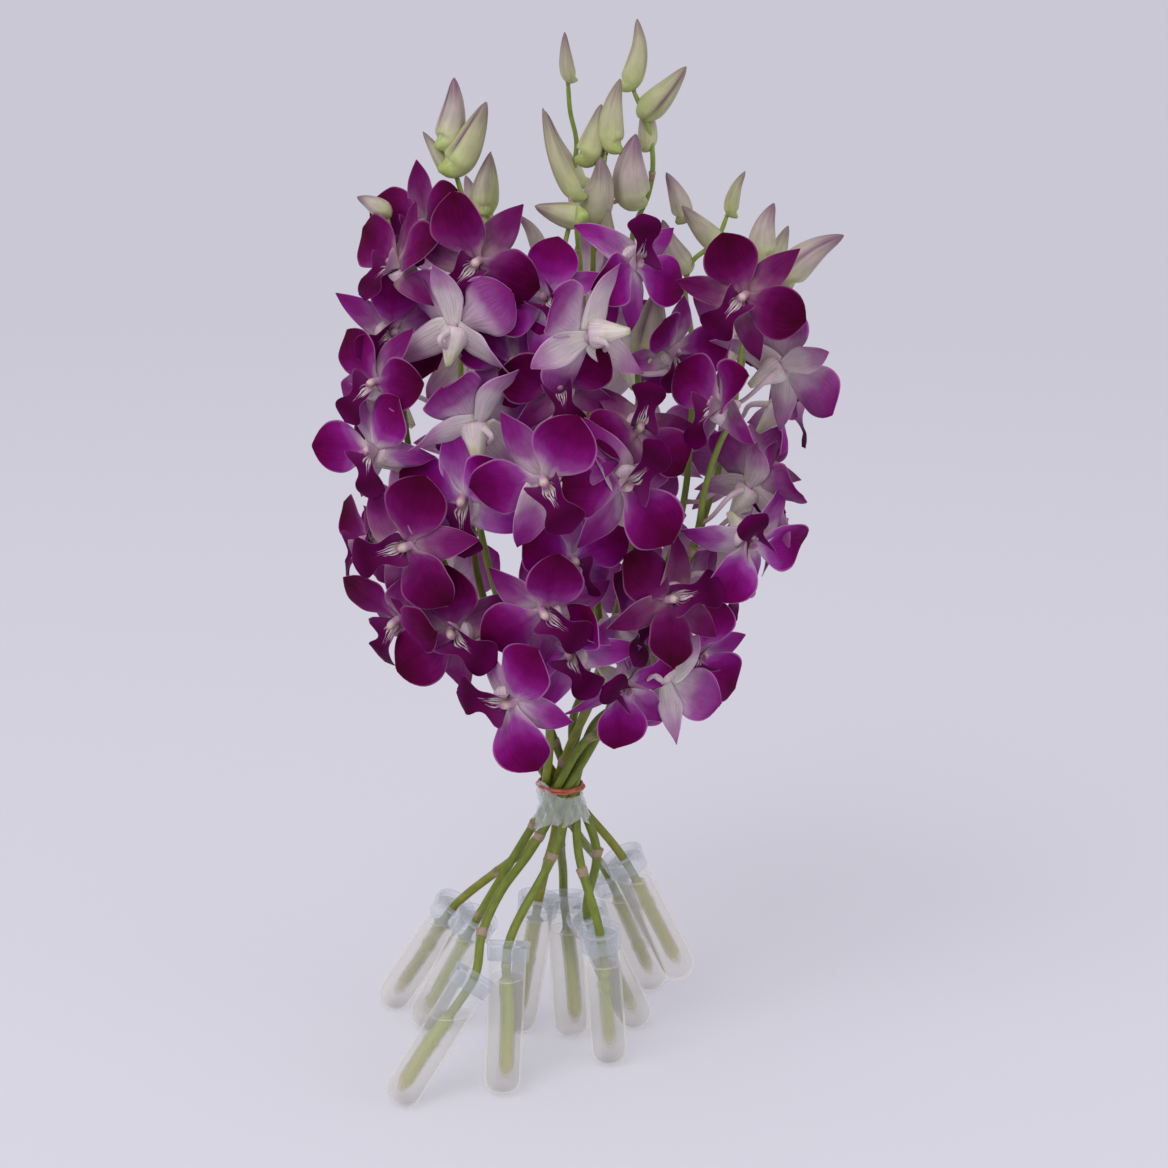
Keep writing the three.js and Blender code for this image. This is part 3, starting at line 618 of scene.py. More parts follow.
def profile(stops, t):
    """A smooth value along rows of place and value."""
    places, values = np.array(rows_of(stops)).T
    slopes = np.gradient(values, places)
    i = np.clip(np.searchsorted(places, t, side="right") - 1, 0, len(places) - 2)
    span = places[i + 1] - places[i]
    x = (t - places[i]) / span
    bulge = x * (1 - x) * ((1 - x) * slopes[i] - x * slopes[i + 1])
    return values[i] + x * x * (3 - 2 * x) * (values[i + 1] - values[i]) + span * bulge


def profile_of(stops, line):
    """A profile with one value for each point of a line."""
    return profile(stops, unit_steps(len(line)))


def round_turn(sides):
    """The angles of a ring's points."""
    return np.linspace(0, 2 * np.pi, sides, endpoint=False)


def circle(turn, radius, across, up):
    """A ring's points about its middle, in the plane of two directions."""
    return np.outer(np.cos(turn) * radius, across) + np.outer(np.sin(turn) * radius, up)


def quads(*corners):
    """Faces from four arrays, one for each corner."""
    return np.stack(corners, axis=-1).reshape(-1, 4).tolist()


def ring_faces(rings, sides, closed=False):
    """Quads between rings of equal size, and from the last to the first if closed."""
    here = np.arange(rings * sides).reshape(rings, sides)
    above = np.roll(here, -1, axis=0)
    faces = quads(here, np.roll(here, -1, axis=1), np.roll(above, -1, axis=1), above)
    return faces if closed else faces[:-sides]


def ring_places(turn, along):
    """The place across and along for rings of points."""
    across = np.tile(0.5 - 0.5 * np.cos(turn), len(along))
    return np.stack([across, np.repeat(along, len(turn))], axis=1)


def sweep(builder, points, radii, sides, slot, tone=0.0, mark=0.0, lobed=None, end=1.0, start=0.0,
          back=None):
    """A round bar along points, closed at both ends."""
    points = np.asarray(points, dtype=float)
    count = len(points)
    along = unit(np.gradient(points, axis=0))
    across = np.array([1.0, 0.0, 0.0]) if abs(along[0][0]) < 0.9 else np.array([0.0, 1.0, 0.0])
    turn = round_turn(sides)
    rings = []
    for i, direction in enumerate(along):
        across = unit(across - direction * across.dot(direction))
        radius = radii[i] * (np.ones(sides) if lobed is None else lobed(turn, i / (count - 1)))
        rings.append(points[i] + circle(turn, radius, across, np.cross(direction, across)))
    faces = ring_faces(count, sides)
    foot, last = count * sides, (count - 1) * sides
    for k, after in enumerate([*range(1, sides), 0]):
        faces += [(foot, after, k), (foot + 1, last + k, last + after)]
    places = ring_places(turn, np.linspace(start, end, count))
    places = np.concatenate([places, [[0.5, start], [0.5, end]]])
    if isinstance(mark, np.ndarray):
        mark = np.concatenate([mark.ravel(), [0.0, 0.0]])
    back = np.zeros(count) if back is None else back
    back = np.concatenate([np.repeat(back, sides), [back[0], back[-1]]])
    vertices = np.concatenate(rings + [points[:1], points[-1:]])
    builder.add(vertices, faces, slot, places, tone, back, mark)


def closed_bar(builder, points, radius, sides, mark=0.0):
    """A bar that closes on itself."""
    turn = round_turn(sides)
    rings = []
    for point, along in zip(points, unit(np.roll(points, -1, axis=0) - np.roll(points, 1, axis=0))):
        up = unit(UP - along * UP.dot(along))
        rings.append(point + circle(turn, radius, np.cross(up, along), up))
    builder.add(np.concatenate(rings), ring_faces(len(points), sides, True), 0,
                ring_places(turn, unit_steps(len(points))), 0.0, 0.0, mark)


def sheet_solid(builder, surface, thickness, slot, tone):
    """A thin leaf: a grid of points, thickened to both sides."""
    rows, columns, _ = surface.shape
    normal = np.cross(np.gradient(surface, axis=0), np.gradient(surface, axis=1))
    normal = normal / np.maximum(np.linalg.norm(normal, axis=2, keepdims=True), 1e-9)
    u = np.tile(unit_steps(columns), (rows, 1))
    v = np.tile(unit_steps(rows)[:, None], (1, columns))
    taper = np.clip(np.minimum((1 - np.abs(2 * u - 1)) * 4, (1 - v) * 6), 0.25, 1.0)[:, :, None]
    offset = normal * taper * thickness / 2
    vertices = np.concatenate([(surface + offset).reshape(-1, 3), (surface - offset).reshape(-1, 3)])
    count = rows * columns
    top = np.arange(count).reshape(rows, columns)
    low = top + count
    rim = np.concatenate([top[0, :-1], top[:-1, -1], top[-1, :0:-1], top[:0:-1, 0]])
    after = np.roll(rim, -1)
    faces = quads(top[1:, :-1], top[1:, 1:], top[:-1, 1:], top[:-1, :-1])
    faces += quads(low[:-1, :-1], low[:-1, 1:], low[1:, 1:], low[1:, :-1])
    faces += quads(rim, after, after + count, rim + count)
    places = np.stack([u.ravel(), v.ravel()], axis=1)
    back = np.repeat([0.0, 1.0], count)
    builder.add(vertices, faces, slot, np.concatenate([places, places]), tone, back, 1.0)


# Flowers

STEM, STALK, SEPAL, PETAL, LIP, COLUMN, BUD = range(7)
SEPAL_OUTLINE = "0 0.42, 0.15 0.66, 0.4 1, 0.65 0.84, 0.85 0.44, 1 0.03"
LATERAL_OUTLINE = "0 0.86, 0.12 1, 0.35 1, 0.6 0.8, 0.82 0.46, 1 0.03"
PETAL_OUTLINE = "0 0.24, 0.1 0.3, 0.25 0.62, 0.45 0.94, 0.62 1, 0.8 0.82, 0.93 0.42, 1 0.05"
LIP_OUTLINE = "0 0.3, 0.12 0.58, 0.25 0.76, 0.38 0.5, 0.5 0.5, 0.63 0.76, 0.77 0.9, 0.9 0.7, 1 0.12"
LIP_CLOSE = 62.0
LIP_ROWS = 22
# A kind of leaf: its length, its width, its height in front of the flower's
# middle, and the rows and columns of its grid
LEAF_SIZES = {SEPAL: (SEPAL_LENGTH, SEPAL_WIDTH, 0.0, 18, 13),
              PETAL: (PETAL_LENGTH, PETAL_WIDTH, 1.2, 20, 17),
              LIP: (LIP_LENGTH, LIP_WIDTH, 0.8, LIP_ROWS, 19)}
# What a leaf draws in turn: its bend, cup, wave and twist, how far it closes
# forward and stands aside, and how long and wide it is beside its usual size
SEPAL_DRAWS = {"bend": (-66, -12), "close": (-4, 14), "cup": (-0.7, 0.9), "wave": (0.2, 0.8),
               "twist": (-34, 34), "aside": (-7, 7), "long": (0.95, 1.06), "wide": (0.9, 1.05)}
TOP_DRAWS = {**SEPAL_DRAWS, "bend": (-38, 4)}
PETAL_DRAWS = {"close": (-5, 9), "bend": (-44, 4), "cup": (-0.5, 0.9), "wave": (0.3, 1.1),
               "twist": (-26, 26), "aside": (-4, 4), "long": (0.96, 1.04), "wide": (0.95, 1.05)}
LIP_DRAWS = {"bend": (-96, -78), "twist": (-5, 5), "aside": (-8, 8)}
LIP_CUP = "0 1.6, 0.25 2.7, 0.42 1.3, 0.7 0.1, 1 -0.3"
BUD_OUTLINE = "0 0.2, 0.1 0.46, 0.24 0.78, 0.42 1.04, 0.58 1, 0.74 0.76, 0.88 0.46, 0.96 0.24, 1 0.06"
COLUMN_RADII = "0 2.6, 0.4 2, 0.8 2.1, 1 0.8"
SPUR_RADII = "0 7.2, 0.25 7, 0.62 4.5, 1 1.5"
STALK_RADII = "0 1.6, 0.12 1.25, 0.6 1.3, 1 1.9"
BUD_STALK_RADII = "0 1.3, 0.2 1, 1 1.4"
BUD_SIDES = 24
WIDE_BUD = 12


class Flower:
    """A flower's own axes: out of its face, up its top sepal, sideways."""

    def __init__(self, numbers):
        x, y, z, azimuth, pitch, top, self.size, self.close = numbers
        turn, lean, up = math.radians(azimuth), math.radians(pitch), math.radians(top)
        self.centre = np.array([x, y, z], dtype=float)
        self.face = np.array([math.sin(turn) * math.cos(lean), -math.cos(turn) * math.cos(lean),
                              math.sin(lean)])
        above = np.array([math.cos(up), 0.0, math.sin(up)])
        self.up = unit(above - self.face * above.dot(self.face))
        self.side = np.cross(self.up, self.face)

    def place(self, u, v, w):
        """A point of the flower's own axes, in the bunch."""
        u, v, w = (np.asarray(k, dtype=float)[..., None] for k in (u, v, w))
        return self.centre + u * self.side + v * self.up + w * self.face


def add_leaf(builder, flower, rng, tone, kind, angle, outline, draws, **shape):
    """A leaf as a grid: it leaves the flower's middle at an angle.

    The numbers of its shape are given, or drawn in turn, or the sum of both.
    """
    for key, span in draws.items():
        shape[key] = shape.get(key, 0.0) + rng.uniform(*span)
    length, width, rise, rows, columns = LEAF_SIZES[kind]
    length *= flower.size * shape.get("long", 1.0)
    width *= flower.size * shape.get("wide", 1.0)
    t = unit_steps(rows)
    grid_t, grid_s = np.meshgrid(t, np.linspace(-1, 1, columns), indexing="ij")
    tilt = np.radians(shape["close"] + shape["bend"] * t ** 1.4)[:, None]
    step = length / (rows - 1)
    out = LEAF_FOOT * flower.size + np.cumsum(np.cos(tilt) * step * (grid_t > 0), axis=0)
    up = rise + np.cumsum(np.sin(tilt) * step * (grid_t > 0), axis=0)
    side = grid_s * (width / 2 * np.maximum(profile(outline, t), 0.02))[:, None]
    phase = rng.uniform(0, 2 * np.pi, 3)
    wave = np.sin(grid_t * 9.5 + phase[0] + grid_s * 1.3) + 0.5 * np.sin(grid_t * 17 + phase[1] - grid_s)
    fold = 0.35 * np.exp(-(grid_s / 0.16) ** 2) * np.sin(np.pi * grid_t) * width / 30
    lift = np.reshape(shape["cup"], (-1, 1)) * side ** 2 / width
    lift += shape["wave"] * np.abs(grid_s) ** 2.2 * wave - fold
    turn = math.radians(shape["twist"]) * grid_t
    turned_side = side * np.cos(turn) - lift * np.sin(turn)
    turned_lift = side * np.sin(turn) + lift * np.cos(turn)
    reach = out - turned_lift * np.sin(tilt)
    a = math.radians(angle + shape["aside"])
    surface = flower.place(math.cos(a) * reach - math.sin(a) * turned_side,
                           math.sin(a) * reach + math.cos(a) * turned_side,
                           up + turned_lift * np.cos(tilt))
    sheet_solid(builder, surface, LEAF_THICKNESS, kind, tone)


def add_leaves(*made, close):
    """Three sepals behind, two broad petals before them, and the lip in front."""
    add_leaf(*made, SEPAL, 90, SEPAL_OUTLINE, TOP_DRAWS)
    for angle in (90 + LATERAL_ANGLE, 90 - LATERAL_ANGLE):
        add_leaf(*made, SEPAL, angle, LATERAL_OUTLINE, SEPAL_DRAWS)
    for angle in (90 + PETAL_ANGLE, 90 - PETAL_ANGLE):
        add_leaf(*made, PETAL, angle, PETAL_OUTLINE, PETAL_DRAWS, close=close)
    cup = profile(LIP_CUP, unit_steps(LIP_ROWS)) * 1.4
    add_leaf(*made, LIP, 270, LIP_OUTLINE, LIP_DRAWS, close=LIP_CLOSE, cup=cup, wave=0.7)


def add_heart(builder, flower, tone):
    """The column in the middle, and the spur behind and below."""
    k = flower.size
    column = spline([flower.place(0, 2 * k, -1), flower.place(0, 1.5 * k, 4 * k),
                     flower.place(0, -1 * k, 9 * k)], 5)
    sweep(builder, column, profile_of(COLUMN_RADII, column) * k, 10, COLUMN, tone)
    spur = spline([flower.place(0, -1.5 * k, 1.5 * k), flower.place(0, -6 * k, -4 * k),
                   flower.place(0, -13 * k, -12 * k)], 6)
    sweep(builder, spur, profile_of(SPUR_RADII, spur) * k, 14, STALK, tone, start=0.8)


def nearest(path, wanted):
    """The point of a path nearest to another."""
    return path[np.argmin(np.linalg.norm(path - wanted, axis=1))]


def add_stalk(builder, flower, path, tone):
    """The flower's stalk, which curves up and out from the main stem."""
    foot = nearest(path, flower.centre - 16 * flower.face - 12 * UP)
    back = flower.place(0, 1.5 * flower.size, -3)
    out = back - foot
    reach = np.linalg.norm(out)
    first = foot + out * 0.25 - 0.04 * reach * UP
    second = back - flower.face * min(reach * 0.35, 10.0) + UP
    line = spline([foot, first, second, back], 5)
    sweep(builder, line, profile_of(STALK_RADII, line), 8, STALK, tone)


def add_bud(builder, numbers, path, rng):
    """A bud, plump below its middle, with seams and a blunt spur at its foot."""
    base, tip, width = np.array(numbers[0:3], float), np.array(numbers[3:6], float), numbers[6]
    along = tip - base
    length = np.linalg.norm(along)
    foot = nearest(path, base - along * 0.1)
    away = base - foot + rng.normal(size=3) * 2
    away = unit(away - along * away.dot(along) / length ** 2)
    heel = base - along * 0.05 + away * (0.18 * length + 0.14 * width)
    line = spline([heel, base + along * 0.03 + away * 0.07 * length, base + along * 0.22,
                   base + along * 0.6 - away * 0.03 * length,
                   tip + away * rng.uniform(-0.03, 0.06) * length], 6)
    opening = rng.integers(0, 3) * 2 * np.pi / 3
    slit = rng.uniform(0.75, 1.0) if width >= WIDE_BUD else 0.25

    def seams(angles, at_opening, elsewhere):
        depth = np.where(np.cos(angles - opening) > 0.5, at_opening, elsewhere)
        return depth * np.maximum(0, np.cos(3 * angles)) ** 6

    def lobed(angles, height):
        return 1 - seams(angles, 0.06 + 0.16 * slit, 0.08) * min(1, height * 3)

    t = unit_steps(len(line))
    mark = np.outer(np.clip((t - 0.3) * 3, 0, 1) * np.clip((1.02 - t) * 6, 0.3, 1),
                    seams(round_turn(BUD_SIDES), slit, 0.2))
    radii = profile(BUD_OUTLINE, t) * width / 2
    sweep(builder, line, radii, BUD_SIDES, BUD, rng.uniform(0.0, 0.75), mark, lobed)
    if np.linalg.norm(foot - base) > 1.0:
        inside = base + along * 0.08 - away * 0.1 * width
        middle = (foot + inside) / 2 - 0.12 * np.linalg.norm(inside - foot) * UP
        stalk = spline([foot, middle, inside], 5)
        sweep(builder, stalk, profile_of(BUD_STALK_RADII, stalk), 7, STALK, 0.3, end=0.35)


# Stems


def tube_axis(tube):
    """A tube's round end, direction and mouth."""
    low = np.array([*tube["foot"], tube["lift"] + TUBE_RADIUS - FLOOR_CUT])
    along = unit(np.array(tube["mouth"]) - low)
    return low, along, low + along * (TUBE_LENGTH - TUBE_RADIUS)


def twist_point(angle, height):
    """A stem's place in the twisted sheaf near the tie."""
    ring = math.radians(angle)
    slide = (height - TIE_HEIGHT) * TWIST_SLOPE
    return [RING_RADIUS * math.cos(ring) - slide * math.sin(ring),
            RING_RADIUS * math.sin(ring) + slide * math.cos(ring), height]


def stem_path(spray):
    """The smooth path of a stem, from inside its tube to its tip."""
    low, along, top = tube_axis(TUBES[spray["tube"]])
    points = [low - 2 * along, low + 30 * along, top - 2 * along]
    points += rows_of(spray.get("below", ""))
    if "inner" in spray:
        points.append([2.4 * spray["inner"], 0, TIE_HEIGHT])
    else:
        reaches = spray.get("reaches", (-TWIST_REACH, 0, TWIST_REACH))
        points += [twist_point(spray["ring"], TIE_HEIGHT + reach) for reach in reaches]
    points += rows_of(spray["path"])
    return even(spline(points, 12), STEM_STEP)


def add_stem(builder, spray, path, rng):
    """A stem with nodes, narrowing towards its tip; water makes it look wider."""
    climb = np.clip((path[:, 2] - TIE_HEIGHT) / (path[-1][2] - TIE_HEIGHT), 0, 1)
    level = TUBES[spray["tube"]]["water"]
    length = np.arange(len(path)) * STEM_STEP
    sunk = np.clip((level - path[:, 2]) / 2.0, 0, 1) * (length < TUBE_LENGTH + 5)
    node = np.abs((length + rng.uniform(0, NODE_GAP)) % NODE_GAP - NODE_GAP / 2)
    swell = np.exp(-(node / NODE_WIDTH) ** 2) * (1 - climb)
    radii = STEM_RADIUS + (STEM_TOP_RADIUS - STEM_RADIUS) * climb
    radii = radii * (1 + NODE_SWELL * swell) * (1 + WATER_WIDENS * sunk)
    radii[-3:] *= [0.95, 0.8, 0.5]
    bow = np.sin(np.clip(length / 62.0, 0, 1) * math.pi) ** 0.7 + 1.3 * np.clip(1 - length / 40.0, 0, 1)
    path = path + np.outer(bow, rng.uniform(-STEM_WANDER, STEM_WANDER, 3) * [1, 1, 0])
    mark = np.repeat(np.clip(swell, 0, 1) * (1 - sunk) * rng.uniform(0.3, 1.0), STEM_SIDES)
    sweep(builder, path, radii, STEM_SIDES, STEM, rng.uniform(0, 1), mark, back=sunk)
    for place in np.flatnonzero((node < 1.0) & (sunk == 0) & (path[:, 2] > level + 22)):
        lowest = node[place] <= node[place - 1] and node[place] < node[place + 1]
        if 0 < place < len(path) - 4 and lowest and rng.uniform() < SHEATH_SHARE:
            add_sheath(builder, path[place - 1:place + 2], radii[place], rng)


def add_sheath(builder, stretch, radius, rng):
    """A dry papery scale round a node, loose on one side."""
    line = even(spline(stretch, 3), 0.8)
    t = unit_steps(len(line))
    out = unit(rng.normal(size=3) * [1, 1, 0])
    line = line + np.outer(t ** 2, out) * 0.7
    ragged = rng.uniform(0, ANY_ANGLE)

    def lobed(angles, height):
        return 1 + 0.10 * height * np.sin(3 * angles + ragged)

    sides = 12
    sweep(builder, line, radius + 0.1 + 0.35 * t, sides, STEM, 0.5, np.ones(len(line) * sides), lobed)


def make_spray(spray, number, materials):
    """One whole spray, which stands for its solid."""
    builder = Builder()
    rng = np.random.default_rng(SPRAY_SEED + number)
    path = stem_path(spray)
    add_stem(builder, spray, path, rng)
    upper = path[path[:, 2] > TIE_HEIGHT + TWIST_REACH]
    for place, numbers in enumerate(rows_of(spray["blooms"])):
        flower = Flower(numbers)
        rng = np.random.default_rng(BLOOM_SEED + BLOOM_SEED_STEP * number + place)
        tone = rng.uniform(0.0, 1.0)
        add_leaves(builder, flower, rng, tone, close=flower.close)
        add_heart(builder, flower, tone)
        add_stalk(builder, flower, upper, tone)
    for numbers in rows_of(spray["buds"]):
        add_bud(builder, numbers, upper, rng)
    make_object(spray["name"] + "_bloom", builder, materials, spray["name"])


# Tubes, caps and water


def axis_frame(along):
    """Two directions square to an axis."""
    across = unit(np.cross(along, UP))
    return across, np.cross(along, across)


def turned(low, along, outline, level):
    """A solid of revolution on an axis, from radius and height stops.

    The outline is closed; with a level, points above it are cut down to it.
    """
    turn = round_turn(TUBE_SIDES)
    rings = []
    for radius, height in outline:
        ring = low + circle(turn, radius, *axis_frame(along)) + height * along
        if level is not None:
            ring = ring - np.outer(np.maximum(ring[:, 2] - level, 0.0) / along[2], along)
        rings.append(ring)
    faces = [face[::-1] for face in ring_faces(len(outline), TUBE_SIDES)]
    return np.concatenate(rings), faces, ring_places(turn, unit_steps(len(outline)))


def settle(vertices, low, along):
    """Draw a tube's blunt end up its axis until it stands on the floor."""
    sunk = max(0.0, -vertices[:, 2].min()) / along[2]
    beyond = np.clip(-(vertices - low) @ along / TUBE_RADIUS + 0.4, 0, 1)
    vertices += np.outer(beyond * sunk / 0.9, along)
    vertices[:, 2] = np.maximum(vertices[:, 2], 0.0)


def round_end(radius, steps, lift=0.0):
    """Half of a blunt end, from its lowest point to its side."""
    angles = np.linspace(0, math.pi / 2, steps + 1)
    return [(radius * math.sin(a) ** BLUNTNESS, lift - radius * math.cos(a) ** BLUNTNESS) for a in angles]


def turned_object(name, tube, outline, material, slot, level=None, outer=None):
    """A turned piece on a tube's axis, which stands for the solid of its slot.

    The first stops of the outline, as many as outer says, are its outside.
    """
    low, along, _ = tube_axis(tube)
    builder = Builder()
    vertices, faces, places = turned(low, along, outline, level)
    if slot == "tube" and tube["lift"] == 0:
        settle(vertices, low, along)
    mark = np.ones(len(vertices))
    if outer is not None:
        mark[outer * TUBE_SIDES:] = 0.0
    builder.add(vertices, faces, 0, places, 0.0, vertices[:, 2] - tube["water"], mark)
    if level is not None:
        closed_bar(builder, water_edge(low, along, level), MENISCUS, 6, MENISCUS_HAZE)
    number = tube["name"]
    make_object(f"{name}_{number}", builder, [material], f"{slot}_{number}", True)


def water_edge(low, along, level):
    """The slanted ring where the level water meets a tube's wall."""
    radius = TUBE_RADIUS - TUBE_WALL - 0.3
    ring = low + circle(round_turn(MENISCUS_SIDES), radius, *axis_frame(along))
    return ring + np.outer((level - ring[:, 2]) / along[2], along)


def make_tube(tube, material):
    """A clear tube with a round end."""
    top = TUBE_LENGTH - TUBE_RADIUS - MEMBRANE_DEPTH - 1.6
    inner = round_end(TUBE_RADIUS - TUBE_WALL, 10, 0.6)
    outline = [*round_end(TUBE_RADIUS, 10), (TUBE_RADIUS, top - 20), (TUBE_RADIUS, top - 0.3),
               (TUBE_RADIUS - 0.3, top), (TUBE_RADIUS - TUBE_WALL, top), *reversed(inner)]
    turned_object("tube_clear", tube, outline, material, "tube", None, TUBE_OUTER_RINGS)


def make_cap(tube, material):
    """A soft cap: rolled rim, bead, tapered skirt and sunk lid."""
    top = TUBE_LENGTH - TUBE_RADIUS
    lid = top - MEMBRANE_DEPTH
    foot = top - CAP_HEIGHT
    bore = TUBE_RADIUS + 0.25
    rim = [(CAP_RADIUS - 0.9 + 0.9 * math.sin(a), top - 1.4 + 1.4 * math.cos(a) * (1 if a < 1.6 else 0.8))
           for a in np.linspace(0, math.pi * 0.9, 7)]
    outline = [(CAP_HOLE, lid), (CAP_HOLE, lid - 1.0), (bore - 0.3, lid - 1.2), (bore, lid - 1.6),
               (bore, foot), (bore + 0.3, foot - 0.2), (bore + 0.7, foot), (bore + 0.95, top - 7.0),
               (CAP_RADIUS - 0.55, top - 4.4), (CAP_RADIUS - 0.5, top - 3.4),
               (CAP_RADIUS - 0.9, top - 3.0), *reversed(rim), (bore + 0.2, top - 0.3),
               (bore - 0.1, top - 1.0), (bore - 0.5, lid + 0.2), (bore - 1.2, lid), (CAP_HOLE, lid)]
    turned_object("cap_soft", tube, outline, material, "cap")


def make_water(tube, material):
    """The water, level at its top."""
    radius = TUBE_RADIUS - TUBE_WALL - 0.12
    top = TUBE_LENGTH - TUBE_RADIUS - 6
    outline = [*round_end(radius, 8, 0.6), (radius, 20), (radius, top), (radius * 0.7, top),
               (radius * 0.3, top), (0.001, top)]
    turned_object("water_level", tube, outline, material, "water", tube["water"])


# The tie


def stems_near(paths, angle, height):
    """Each stem at a height: how far it is out in a direction, and how far beside it."""
    out, beside = (math.cos(angle), math.sin(angle)), (math.sin(angle), -math.cos(angle))
    near = [path[np.argmin(np.abs(path[:, 2] - height))][:2] for path in paths]
    return [(place.dot(out), place.dot(beside)) for place in near]


def make_band(paths, material):
    """A rubber band wound round the stems three times."""
    builder = Builder()
    for turn, (height, lean, out) in enumerate(BAND_TURNS):
        line = []
        for angle in round_turn(BAND_STEPS):
            level = height + lean * math.sin(angle + turn * 2.1)
            reach = max(near for near, _ in stems_near(paths, angle, level)) + STEM_RADIUS + 0.7 + out
            line.append([reach * math.cos(angle), reach * math.sin(angle), level])
        closed_bar(builder, np.array(line), BAND_RADIUS, 8)
    make_object("rubber_band_wound", builder, [material], "rubber_band")


def sleeve_reach(paths, angle, height, radius):
    """How far a sleeve that hugs the stems reaches in a direction."""
    near = stems_near(paths, angle, height)
    return max(0.62 * max(out for out, _ in near),
               *(out + math.sqrt(radius ** 2 - beside ** 2) for out, beside in near if abs(beside) < radius))


def make_film(paths, material):
    """Thin clear film, crumpled round the stems below the tie, over it on one side."""
    builder = Builder()
    phase = np.random.default_rng(FILM_SEED).uniform(0, ANY_ANGLE, 4)
    angles = np.linspace(0, 2 * math.pi, FILM_SIDES + 1)
    over = np.exp(-((angles - FILM_FLAP) / 0.55) ** 2)
    tops = FILM_TOP + FILM_FLAP_RISE * over
    hems = FILM_HEM + 2.2 * np.sin(2 * angles + phase[0]) + 1.2 * np.sin(5 * angles + phase[1])
    blur = 2 * FILM_BLUR + 1
    rows = []
    for t in unit_steps(FILM_ROWS):
        heights = hems + (tops - hems) * t
        reach = np.array([sleeve_reach(paths, angle, height, STEM_RADIUS + 1.3)
                          for angle, height in zip(angles, heights)])
        around = np.concatenate([reach[-FILM_BLUR - 1:-1], reach, reach[1:FILM_BLUR + 1]])
        reach = np.convolve(around, np.full(blur, 1 / blur), mode="valid")
        reach += 0.34 * np.sin(angles * 13 + phase[2] + heights * 0.45)
        reach += 0.22 * np.sin(angles * 29 + phase[3] - heights * 0.8)
        reach += FILM_FLAP_OUT * over * np.clip((heights - 131) / 3, 0, 1)
        rows.append(np.stack([reach * np.cos(angles), reach * np.sin(angles), heights], axis=1))
    grid = np.array(rows)
    grid[:, -1] = grid[:, 0]
    sheet_solid(builder, grid, FILM_THICKNESS, 0, 0.0)
    make_object("clear_film_wrap", builder, [material], "clear_film")


# The studio


def make_studio():
    """A pale seamless floor and backdrop, with soft light."""
    scene = bpy.context.scene
    scene.view_settings.view_transform = "Standard"
    scene.view_settings.look = "None"
    bend = unit_steps(PAPER_STEPS + 1) * math.pi / 2
    curve = zip(PAPER_BACK - PAPER_BEND + PAPER_BEND * np.sin(bend), PAPER_BEND - PAPER_BEND * np.cos(bend))
    line = [(PAPER_FRONT, 0.0), *curve, (PAPER_BACK, PAPER_TOP)]
    points = [(x, *point) for x in (-PAPER_HALF_WIDTH, PAPER_HALF_WIDTH) for point in line]
    count = len(line)
    faces = [(k, k + count, k + 1 + count, k + 1) for k in range(count - 1)]
    mesh = bpy.data.meshes.new("backdrop")
    mesh.from_pydata(points, [], faces)
    mesh.polygons.foreach_set("use_smooth", [True] * len(faces))
    paper = Paint("backdrop_paper", 0.9, 0.1)
    paper.set("Base Color", PAPER_COLOUR)
    paper.set("Emission Color", PAPER_GLOW_COLOUR)
    paper.set("Emission Strength", PAPER_GLOW)
    mesh.materials.append(paper.material)
    in_scene("backdrop", mesh)
    scene.world = bpy.data.worlds.new("studio")
    scene.world.use_nodes = True
    sky = scene.world.node_tree.nodes["Background"]
    sky.inputs[0].default_value = SKY_COLOUR
    sky.inputs[1].default_value = SKY_STRENGTH
    for name, place, size, power in LAMPS:
        lamp = bpy.data.lights.new(name, "AREA")
        lamp.size = size
        lamp.energy = power
        made = in_scene(name, lamp)
        made.location = place
        made.rotation_euler = (Vector(AIM) - Vector(place)).to_track_quat("-Z", "Y").to_euler()


def make_camera():
    """The photograph's view: from the front, a little above."""
    camera = bpy.data.cameras.new("camera")
    camera.lens = CAMERA_LENS
    camera.sensor_width = SENSOR
    camera.clip_end = 50.0
    made = in_scene("camera", camera)
    made.location = Vector(CAMERA_PLACE) * MM + Vector(SHIFT.tolist())
    made.rotation_euler = (math.radians(90 - CAMERA_PITCH), 0.0, 0.0)
    bpy.context.scene.camera = made


make_camera()
make_studio()

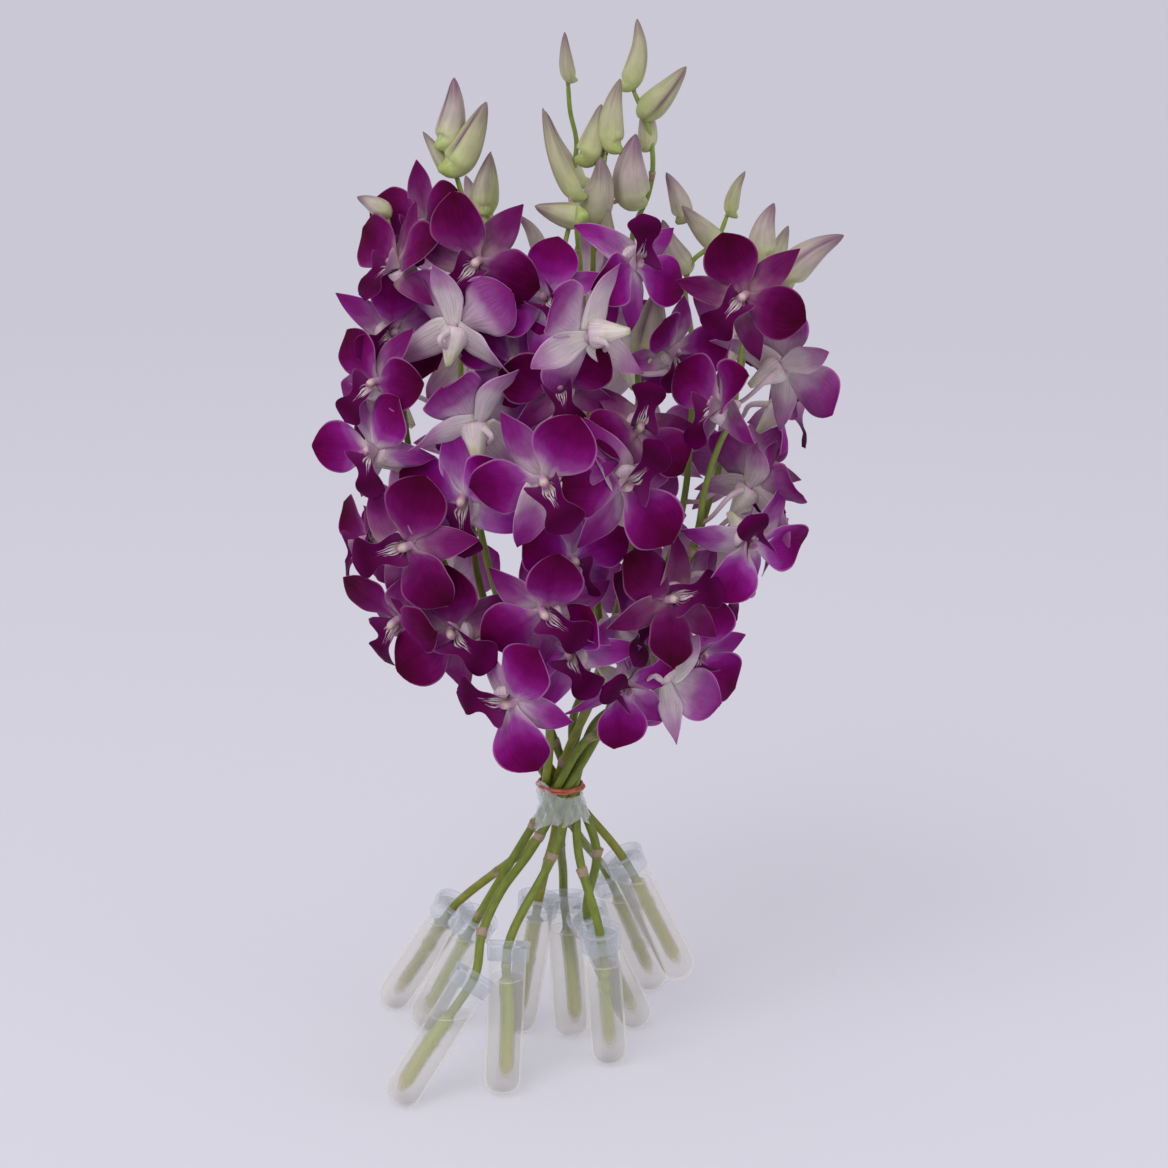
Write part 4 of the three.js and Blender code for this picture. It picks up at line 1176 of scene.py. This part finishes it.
# The colours along a petal and a sepal: their front, their back, their edge
PETAL_FRONT = ("0 0.78 0.7 0.72, 0.1 0.62 0.4 0.6, 0.26 0.4 0.07 0.4, "
               "0.46 0.29 0.008 0.24, 0.7 0.19 0 0.115, 1 0.115 0 0.045")
PETAL_BACK = "0 0.76 0.7 0.68, 0.3 0.6 0.42 0.56, 0.6 0.36 0.08 0.33, 1 0.24 0.008 0.19"
PETAL_EDGE = (0.56, 0.26, 0.54)
SEPAL_FRONT = ("0 0.8 0.74 0.72, 0.2 0.7 0.54 0.67, 0.42 0.44 0.14 0.43, "
               "0.7 0.31 0.025 0.28, 1 0.26 0.012 0.2")
SEPAL_BACK = "0 0.8 0.76 0.7, 0.4 0.72 0.6 0.66, 0.7 0.52 0.27 0.48, 1 0.36 0.09 0.32"
SEPAL_EDGE = (0.66, 0.42, 0.64)
spray_materials = [stem_material(), stalk_material(),
                   leaf_material("orchid_sepal", SEPAL_FRONT, SEPAL_BACK, SEPAL_EDGE),
                   leaf_material("orchid_petal", PETAL_FRONT, PETAL_BACK, PETAL_EDGE),
                   lip_material(), column_material(), bud_material()]
for number, spray in enumerate(SPRAYS):
    make_spray(spray, number, spray_materials)

# The last number of each see-through material is its painted glow: painted light that brightens it
plastic = see_through("tube_plastic", (0.993, 0.988, 0.98), (0.85, 0.83, 0.80), (0.82, 0.84, 0.87),
                      0.17, 0.03, 0.34, 0.3, 0.13)
cap_plastic = see_through("cap_plastic", (0.975, 0.98, 0.99), (0.70, 0.73, 0.79), (0.70, 0.73, 0.79),
                          0.09, 0.0, 0.6, 0.2, 0.07)
water = see_through("tube_water", (0.995, 0.99, 0.98), (0.86, 0.86, 0.76), (0.94, 0.95, 0.88),
                    0.03, 0.0, 0.0, 0.1, 0.25)
for tube in TUBES:
    make_tube(tube, plastic)
    make_cap(tube, cap_plastic)
    make_water(tube, water)

paths = [stem_path(spray) for spray in SPRAYS]
make_band(paths, band_material())
# The film's last number is its painted glow: painted light that brightens it
make_film(paths, see_through("film_plastic", (0.97, 0.98, 0.98), (0.80, 0.83, 0.84), (0.80, 0.83, 0.84),
                             0.16, 0.0, 0.5, 0.1, 0.1))
